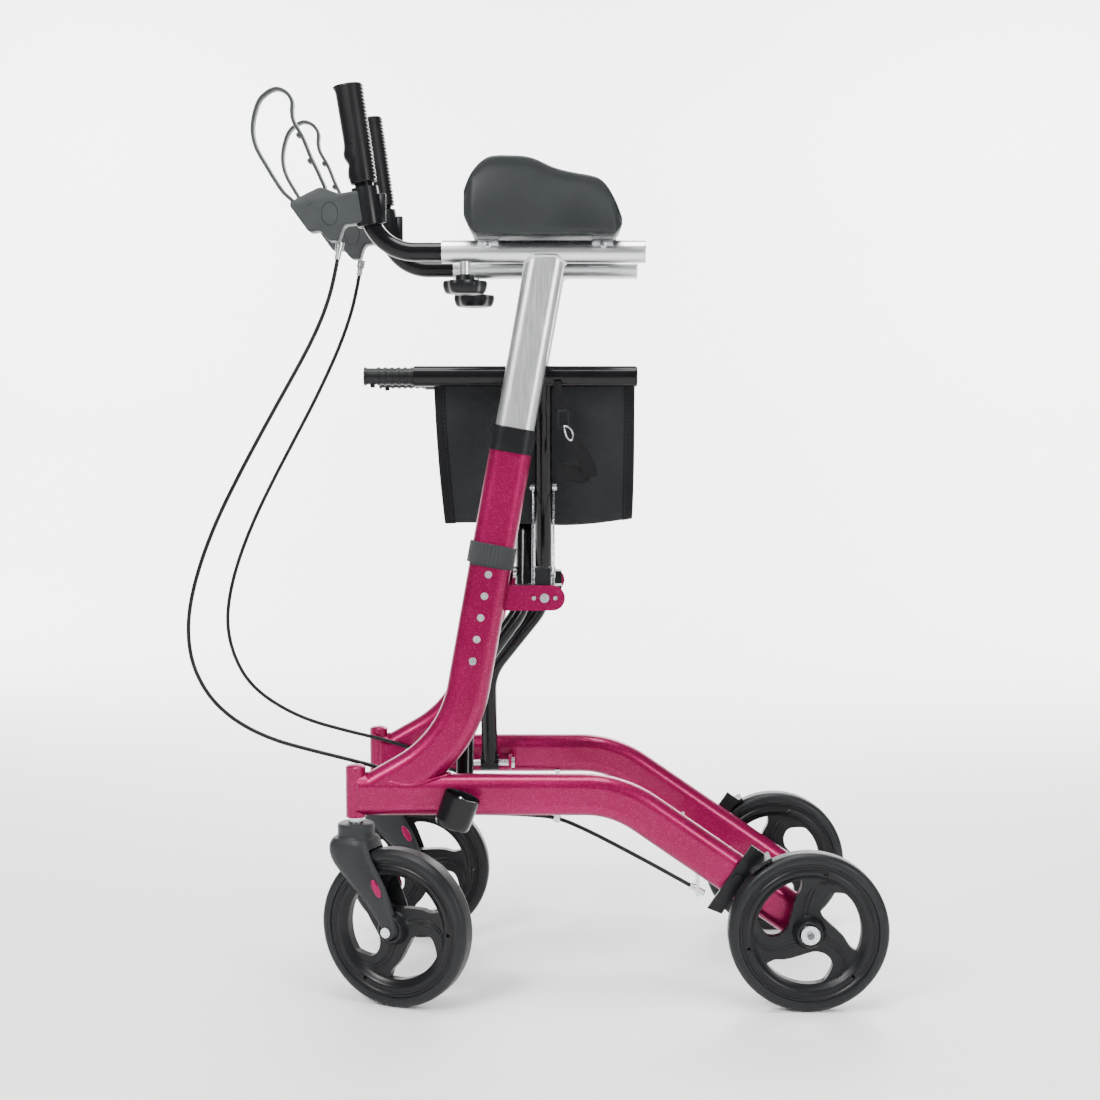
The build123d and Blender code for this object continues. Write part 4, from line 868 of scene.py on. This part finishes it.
def spokeRidges():
    # on each spoke and face two raised lines run in an S from the hub to the ring
    reach = np.array([17, 24, 33, 42, 51, 60, 66.0])
    middle = np.array([-10, -22, -27, -31, -37, -46, -58.0])
    made = []
    for turn in wheel["spokeTurns"]:
        for offset in (-2.6, 2.6):
            angle = np.radians(middle + turn + np.degrees(offset / reach))
            for face in (-1, 1):
                depth = np.full(7, face * (wheel["web"] - 0.2))
                depth[0], depth[-1] = face * (wheel["web"] + 1.5), face * (wheel["web"] + 0.8)
                line = smooth(np.stack([reach * np.cos(angle), depth, reach * np.sin(angle)], -1), 48)
                size = 1.25 * np.clip(np.sin(np.linspace(0.12, np.pi - 0.12, 48)) * 3, 0.2, 1)
                made.append(part(carry(line, ring(np.repeat(size[:, None], 12, 1), 12), (0, 1, 0))))
    return made


def tyreGrid():
    # tread with two fine grooves and rounded shoulders
    w = wheel
    half = [(w["rim"] + 0.1, 12.6), (w["rim"] + 0.8, 14.2), (w["rim"] + 3, 15), (w["rim"] + 7, 14.8),
            (w["rim"] + 10, 13.4), (w["rim"] + 11.8, 11.2), (w["rim"] + 12.7, 8.6), (w["rim"] + 12.2, 8.1),
            (w["rim"] + 12.8, 7.5), (w["radius"], 3)]
    profile = [(r, -y) for r, y in half] + [(r, y) for r, y in reversed(half)]
    return part(turned(profile, (0, 0, 0), (0, 1, 0), 160), closeRows=True)


def moved(item, turn, place, yaw=0.0, around=(0, 0)):
    # turned about the axle, set in place, then swung about a plumb line
    t, q = math.radians(turn), math.radians(yaw)
    g = item["grid"]
    x = g[..., 0] * math.cos(t) - g[..., 2] * math.sin(t) + place[0]
    z = g[..., 0] * math.sin(t) + g[..., 2] * math.cos(t) + place[2]
    x, y = x - around[0], g[..., 1] + place[1] - around[1]
    grid = np.stack([x * math.cos(q) + y * math.sin(q) + around[0],
                     y * math.cos(q) - x * math.sin(q) + around[1], z], -1)
    return dict(item, grid=grid)


def addWheel(side, which):
    place, turn, yaw, around = (rearAxle["x"], -rearAxle["y"], rearAxle["z"]), 0, 0.0, (0, 0)
    if which == "front":
        place, turn = (head["x"] + head["trail"], -head["railY"], wheel["radius"]), -75
        yaw, around = head["yaw"][side], (head["x"], -head["railY"])

    def put(item):
        return moved(item, turn, place, yaw, around)

    body = f"{which}_wheel_{side}"
    rim = addPiece(f"{which}Rim_{side}", [put(wheelParts())], "blackPlastic", body, "rim_plastic",
                   [f"{which}_rim_{side}"], side=sides[side])
    turns = wheel["spokeTurns"]
    cutters = [put(tearCutter(t)) for t in turns] + [put(notchCutter(t - 165)) for t in turns]
    cutOut(rim, [meshOf("hole", [mirrored(c, side)]) for c in cutters])
    bevelled(rim, 1.1, angle=50)
    addPiece(f"{which}Spokes_{side}", [put(p) for p in spokeRidges()], "blackPlastic", body, "rim_plastic",
             side=sides[side])
    addPiece(f"{which}Tyre_{side}", [put(tyreGrid())], "tyreRubber", body, "tyre_rubber",
             [f"{which}_tyre_{side}"], side=sides[side])
    for face in ((-1,) if which == "rear" else (-1, 1)):
        bearing = turned([(5.4, 19.3), (9.2, 19.3), (10.6, 18.6), (11.6, 17.4), (12.4, 15), (5.4, 15)],
                         (0, 0, 0), (0, face, 0), 64)
        addPiece(f"{which}Bearing_{side}" + ("Inner" if face > 0 else ""), [put(part(bearing, closeRows=True))],
                 "zinc" if which == "rear" else "blackPlastic", body, "steel_hardware", side=sides[side])


# caster forks
fork = {"around": 64, "exponent": 3.0, "insetAt": (40.5, 27.2, 145.5), "insetSlant": 28, "insetHalf": (4.3, 11.5),
        "rows": [   # height, front edge, rear edge, half width
            (216, -19.5, 19.5, 19.5), (215, -21.4, 21.4, 21.4), (213, -22, 22, 22), (203, -22, 22, 22),
            (201, -22.5, 22.5, 22.6), (198, -26.0, 25, 24.5), (193, -29.0, 27, 26.6), (186, -30, 29.5, 27.4),
            (178, -28.5, 32.5, 27.5), (170, -24.5, 37, 27.5), (162, -18, 41.5, 27.5), (154, -10, 46, 27.5),
            (144, -0.5, 51, 27.5), (132, 13, 55.5, 27.5), (120, 24, 59.5, 27.5), (110, 33, 62.5, 27.4),
            (102, 39.5, 65, 27.2), (96, 42.4, 66.2, 27), (91, 44, 65, 26.8), (87.2, 46.8, 62, 26.4),
            (85, 51, 58, 25.5)]}


def addFork(side):
    # rows of superellipses down the fork, then room for the wheel is taken out between the legs
    rows = smooth(np.array(fork["rows"], float), 90)
    middle, long = (rows[:, 1] + rows[:, 2]) / 2, (rows[:, 2] - rows[:, 1]) / 2
    power = np.where(rows[:, 0] > 200, 2.0, fork["exponent"])
    outline = np.stack([boxy(a, b, k, fork["around"]) for a, b, k in zip(long, rows[:, 3], power)])
    grid = np.stack([outline[..., 0] + middle[:, None], outline[..., 1],
                     np.broadcast_to(rows[:, :1], outline.shape[:2])], -1)
    axle = (head["trail"], 0, wheel["radius"])
    tools = [part(turned([(0.2, -17.5), (97, -17.5), (97, 17.5), (0.2, 17.5)], axle, (0, 1, 0), 120)),
             part(turned([(0.2, -20), (20, -20), (20, 20), (0.2, 20)], axle, (0, 1, 0), 64))]

    def swung(item):
        shifted = dict(item, grid=item["grid"] + (head["x"], -head["railY"], 0))
        return moved(shifted, 0, (0, 0, 0), head["yaw"][side], (head["x"], -head["railY"]))

    piece = addPiece(f"casterFork_{side}", [swung(part(grid))], "forkPlastic", f"caster_{side}", "fork_plastic",
                     [f"fork_{side}"], side=sides[side])
    cutOut(piece, [meshOf("room", [mirrored(swung(t), side)]) for t in tools])
    bevelled(piece, 0.8, angle=55)
    slant, oval, badges = math.radians(fork["insetSlant"]), boxy(1.0, 1.0, 2.0, 48), []
    (x, y, z), (halfAcross, halfAlong) = fork["insetAt"], fork["insetHalf"]
    for out in (-1, 1):
        rings = []
        for k, lift in ((1.0, -1.0), (1.0, 0.35), (0.93, 0.75), (0.75, 1.0), (0.3, 1.15), (0.02, 1.2)):
            a, b = halfAcross * k * oval[:, 0], halfAlong * k * oval[:, 1]
            rings.append(np.stack([x + a * math.cos(slant) + b * math.sin(slant), np.full(48, out * (y + lift)),
                                   z + a * math.sin(slant) - b * math.cos(slant)], -1))
        badges.append(swung(part(np.array(rings))))
    addPiece(f"forkInset_{side}", badges, "magentaPaint", f"caster_{side}", "magenta_paint", side=sides[side])


# seat sling
sling = {"front": -165.0, "rear": 78.0, "edgeY": 75.7, "top": 752.0, "foldHalf": 4.0,
         "foldZ": 565.0, "thick": 1.4, "rows": 110, "columns": 84}


def slingShape(u, v):
    # u runs front to rear, v across from the left edge (-1) over the fold (0) to the right edge (1);
    # the flanks fall almost straight to the fold, with slow waves that die out at the tubes
    side = np.sign(v)
    t = np.abs(v)
    foldZ = sling["foldZ"] + 9 * np.clip((u - 0.62) / 0.38, 0, 1) ** 1.5 + 2.0 * np.sin(u * 5.0 + 0.7)
    z = foldZ + (sling["top"] - foldZ) * t ** 1.04
    y = side * (sling["foldHalf"] * np.clip(t * 14, 0, 1) ** 0.5
                + (sling["edgeY"] - sling["foldHalf"]) * t ** 0.93)
    still = np.clip(t * 5, 0, 1) * np.clip((1 - t) * 4, 0, 1)
    y += still * side * (1.9 * np.sin(u * 9.0 + t * 3.0 + side) + 1.3 * np.sin(u * 17.0 - t * 6.0 + 2 * side)
                         + 2.2 * np.sin(np.pi * t))
    lean = 9.0 * (1 - t) ** 1.2
    x = sling["front"] + lean * (1 - u) + u * (sling["rear"] - sling["front"]) + 1.2 * np.sin(t * 4.0) * (u - 0.5)
    return np.stack([x, y, z], -1)


def foldFollows(piece):
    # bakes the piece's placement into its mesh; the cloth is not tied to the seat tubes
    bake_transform(piece)


def addSling():
    v = np.linspace(-1, 1, sling["rows"])
    u = np.linspace(0, 1, sling["columns"])
    uu, vv = np.meshgrid(u, v)
    grid = slingShape(uu, vv)
    down = np.concatenate([[0], np.cumsum(np.linalg.norm(np.diff(grid[:, 40], axis=0), axis=1))])
    uv = np.stack([uu * (sling["rear"] - sling["front"]), np.broadcast_to(down[:, None], uu.shape)], -1)
    cloth = addPiece("seatSling", [part(grid, closeColumns=False)], "meshCloth", None, "seat_mesh", ["seat_sling"],
                     uv=uv, sharp=80)
    thick = cloth.modifiers.new("cloth", "SOLIDIFY")
    thick.thickness, thick.offset = sling["thick"] * metre, 0
    foldFollows(cloth)
    bands = []
    for place, wide in ((0.0, 13.0), (1.0, 13.0)):
        edge = slingShape(np.full(sling["rows"], place), v)
        other = slingShape(np.full(sling["rows"], place + (0.055 if place == 0 else -0.055)), v)
        inward = unit(other - edge)
        flank = unit(np.cross(np.gradient(edge, axis=0), inward))
        outline = np.array([(-0.8, 0), (-0.5, 1.2), (0.4, 1.5), (wide - 0.8, 1.45), (wide, 1.1), (wide, -1.1),
                            (wide - 0.8, -1.45), (0.4, -1.5), (-0.5, -1.2)])
        tube = edge[:, None] + outline[:, 0][None, :, None] * inward[:, None] \
            + outline[:, 1][None, :, None] * flank[:, None]
        around = np.linspace(0, 2 * wide, len(outline))
        bands.append((part(tube), np.stack(np.broadcast_arrays(around[None], down[:, None]), -1)))
    for side in (-1, 1):
        x = np.linspace(sling["front"] + 1, sling["rear"] - 1, 90)
        wave = 0.5 * np.sin(x * 0.05) + 0.35 * np.sin(x * 0.21)
        path = np.stack([x, np.full(90, side * (sling["edgeY"] - 0.6)), sling["top"] - 5 + wave], -1)
        bands.append((part(carry(path, boxy(1.7, 8.2, 4, 20))),
                      np.stack(np.broadcast_arrays(np.linspace(0, 34, 20)[None], x[:, None]), -1)))
    uvAll = np.concatenate([b[1].reshape(-1, 2) for b in bands])
    tape = addPiece("slingBinding", [b[0] for b in bands], "bindingTape", None, "black_webbing", uv=uvAll, sharp=50)
    foldFollows(tape)
    stitches = []
    for place in (0.042, 0.958):
        edge = slingShape(np.full(500, place), np.linspace(-0.98, 0.98, 500))
        for first in range(6, 494, 7):
            run = edge[first:first + 5]
            out = np.array([0, -1.45 if run[0, 1] < 0 else 1.45, 0])
            stitches.append(part(carry(run + out, ring(0.42, 6), (1, 0, 0))))
    thread = addPiece("slingStitching", stitches, "threadGrey", None, "black_webbing", sharp=80)
    foldFollows(thread)


# pull strap
strap = {"y": -104.2, "thick": 1.6}


def ribbon(path, widths, thick, tilt=(0, 1, 0)):
    # a flat section along a line in the plane of the page
    section = np.stack([boxy(w / 2, thick / 2, 5, 20) for w in widths])
    return carry(path, section, tilt)


def addStrap():
    # webbing down to a metal ring, a folded handle strap below it and the tab that runs back to the sling
    y = strap["y"]
    upper = smooth([(-15.5, y, 742), (-14, y, 728), (-12, y, 716), (-11, y, 706)], 30)
    handle = smooth([(-2, y, 681), (6, y - 0.5, 668), (15, y - 1.5, 654), (22, y - 2, 640), (25, y - 1.2, 628)], 50)
    tab = smooth([(24, y - 0.4, 627), (12, y + 0.6, 630), (-2, y + 1.0, 633), (-16, y + 1.2, 633)], 40)
    pieces = [(upper, np.full(30, 9.0)), (handle, np.interp(np.linspace(0, 1, 50), [0, 0.15, 0.6, 1],
                                                            [10, 15, 19, 17])),
              (tab, np.interp(np.linspace(0, 1, 40), [0, 0.2, 1], [10, 20, 22]))]
    parts, uvs = [], []
    for line, widths in pieces:
        parts.append(part(ribbon(line, widths, strap["thick"])))
        down = np.concatenate([[0], np.cumsum(np.linalg.norm(np.diff(line, axis=0), axis=1))])
        uvs.append(np.stack(np.broadcast_arrays(np.linspace(0, 40, 20)[None], down[:, None]), -1).reshape(-1, 2))
    addPiece("pullStrap", parts, "webbing", "bar_right", "black_webbing", ["fold_strap"], uv=np.concatenate(uvs),
             sharp=50)
    loop = smooth([(-9, y, 707), (-3.5, y, 706), (-2.5, y, 698), (-3, y, 689), (-8, y, 686), (-13.5, y, 689),
                   (-14.5, y, 698), (-13.5, y, 706)], 60, closed=True)
    eye = smooth([(-7, y - 0.5, 688), (-1, y - 1, 687), (3, y - 1, 680), (1.5, y - 1, 672), (-4, y - 0.5, 676)], 40,
                 closed=True)
    addPiece("strapBuckle", [part(carry(loop, ring(1.5, 12), closed=True), closeRows=True)], "blackPlastic",
             "bar_right", "black_plastic")
    addPiece("strapRing", [part(carry(eye, ring(1.0, 12), closed=True), closeRows=True)], "zinc", "bar_right",
             "steel_hardware")


# small hardware
def addCaps(side):
    # domed caps on the head tubes and rounded tips on the wheel axles
    dome = [(0.3, 3.4), (4, 3.2), (8, 2.4), (10.8, 1.0), (11.8, 0), (11.8, -1.5)]
    cap = turned(dome, (head["x"], -head["railY"], 283.2), (0, 0, 1), 48)
    addPiece(f"headCap_{side}", [part(cap)], "magentaPaint", f"side_{side}", "magenta_paint", side=sides[side])
    nut = turned([(0.3, 25.6), (2.6, 25.4), (4.2, 24.4), (4.8, 23.2)],
                 (rearAxle["x"], -rearAxle["y"], rearAxle["z"]), (0, -1, 0), 32)
    addPiece(f"axleTip_{side}", [part(nut)], "darkSteel", f"side_{side}", "steel_hardware", side=sides[side])
    screws = []
    for x in (-97.0, 38.0):
        screws.append(part(turned([(0.3, 2.2), (1.4, 2.2), (1.6, 1.2), (2.2, 1.2), (2.4, 2.1), (3.2, 1.8), (3.6, 0.6),
                                   (3.6, -1)], (x, -armY - 17.6, 901.3), (0, -1, 0), 28)))
    addPiece(f"padScrews_{side}", screws, "zinc", f"mast_{side}", "steel_hardware", side=sides[side])
    wall = turned([(11.1, 0), (13.3, 0), (13.6, -0.6), (13.6, -3), (11.1, -3)], (88.9, -armY, 894.3), (1, 0, 0), 48)
    addPiece(f"armEnd_{side}", [part(wall, closeRows=True)], "armMetal", f"mast_{side}", "silver_tube",
             side=sides[side])


makePlain("forkPlastic", ((0.013, 0.014, 0.016), (0.024, 0.026, 0.028), (0.42, 0.56), 1400.0, 0.35, 0.10))
makePlain("threadGrey", ((0.012, 0.012, 0.013), (0.022, 0.022, 0.024), (0.5, 0.7), 1500.0, 0.3, 0.05))
makeMetal("darkSteel", (0.10, 0.10, 0.11), (0.22, 0.22, 0.24), (0.25, 0.4), (0, 0, 0), (300, 300, 300))

addBand()
addCup()
for side in sides:
    addWelds(side)
    addPad(side)
    addGrip(side)
    addHousing(side)
    addLever(side)
    addKnob(side)
    addFork(side)
    for which in ("front", "rear"):
        addWheel(side, which)
    addCaps(side)
    print("side pieces made:", side)
addSling()
addStrap()
print("soft pieces made")


# studio
studio = {"floorWhite": (0.92, 0.92, 0.92), "floorBright": (0.95, 0.95, 0.95), "world": 0.3, "halfWide": 14,
          "run": [(-14, 0), (3.2, 0), (4.2, 0.12), (5.0, 0.55), (5.5, 1.4), (5.7, 2.8), (5.7, 9)], "rows": 60,
          "lamps": [   # name, place, size, power, aimed at
              ("keyBox", (-1.5, -2.3, 2.4), 1.1, 120, (0, 0, 0.6)),
              ("fillBox", (1.9, -2.2, 1.2), 0.9, 45, (0, 0, 0.5)),
              ("topStrip", (0.0, -0.4, 3.0), 1.6, 110, (0, 0, 0.4)),
              ("rimBox", (0.8, 2.2, 2.0), 1.2, 50, (0, 0, 0.6)),
              ("backLeft", (-2.6, 2.6, 2.6), 1.6, 480, (-1.2, 5.5, 1.0)),
              ("backRight", (2.6, 2.6, 2.6), 1.6, 480, (1.2, 5.5, 1.0))]}


def addStudio():
    world = bpy.context.scene.world or bpy.data.worlds.new("studio")
    bpy.context.scene.world = world
    world.use_nodes = True
    world.node_tree.nodes["Background"].inputs[0].default_value = (1, 1, 1, 1)
    world.node_tree.nodes["Background"].inputs[1].default_value = studio["world"]
    for name, place, size, power, aim in studio["lamps"]:
        data = bpy.data.lights.new(name, "AREA")
        data.shape, data.size, data.energy = "SQUARE", size, power
        lamp = bpy.data.objects.new(name, data)
        away = np.array(place) - np.array(aim)
        flat = math.hypot(away[0], away[1])
        lamp.location = place
        lamp.rotation_euler = (math.atan2(flat, away[2]), 0, math.atan2(away[0], -away[1]))
        bpy.context.scene.collection.objects.link(lamp)
    # floor that curves up into a backdrop far behind
    run = spread(np.array(studio["run"]), studio["rows"])
    x = np.linspace(-studio["halfWide"], studio["halfWide"], 3)
    grid = np.stack(np.broadcast_arrays(x[None], run[:, :1], run[:, 1:]), -1) / metre
    tree, shader = newFinish("floorPaint", Roughness=0.55)
    grain = useGroup(tree, "grain", Scale=6.0, Mottle=1.2)
    tree.links.new(blendColours(tree, grain.outputs["Tone"], studio["floorWhite"], studio["floorBright"]),
                   shader.inputs["Base Color"])
    floor = addPiece("studioFloor", [part(grid, closeColumns=False)], "floorPaint")
    if floor.data.polygons[0].normal.z < 0:
        floor.data.flip_normals()


addStudio()
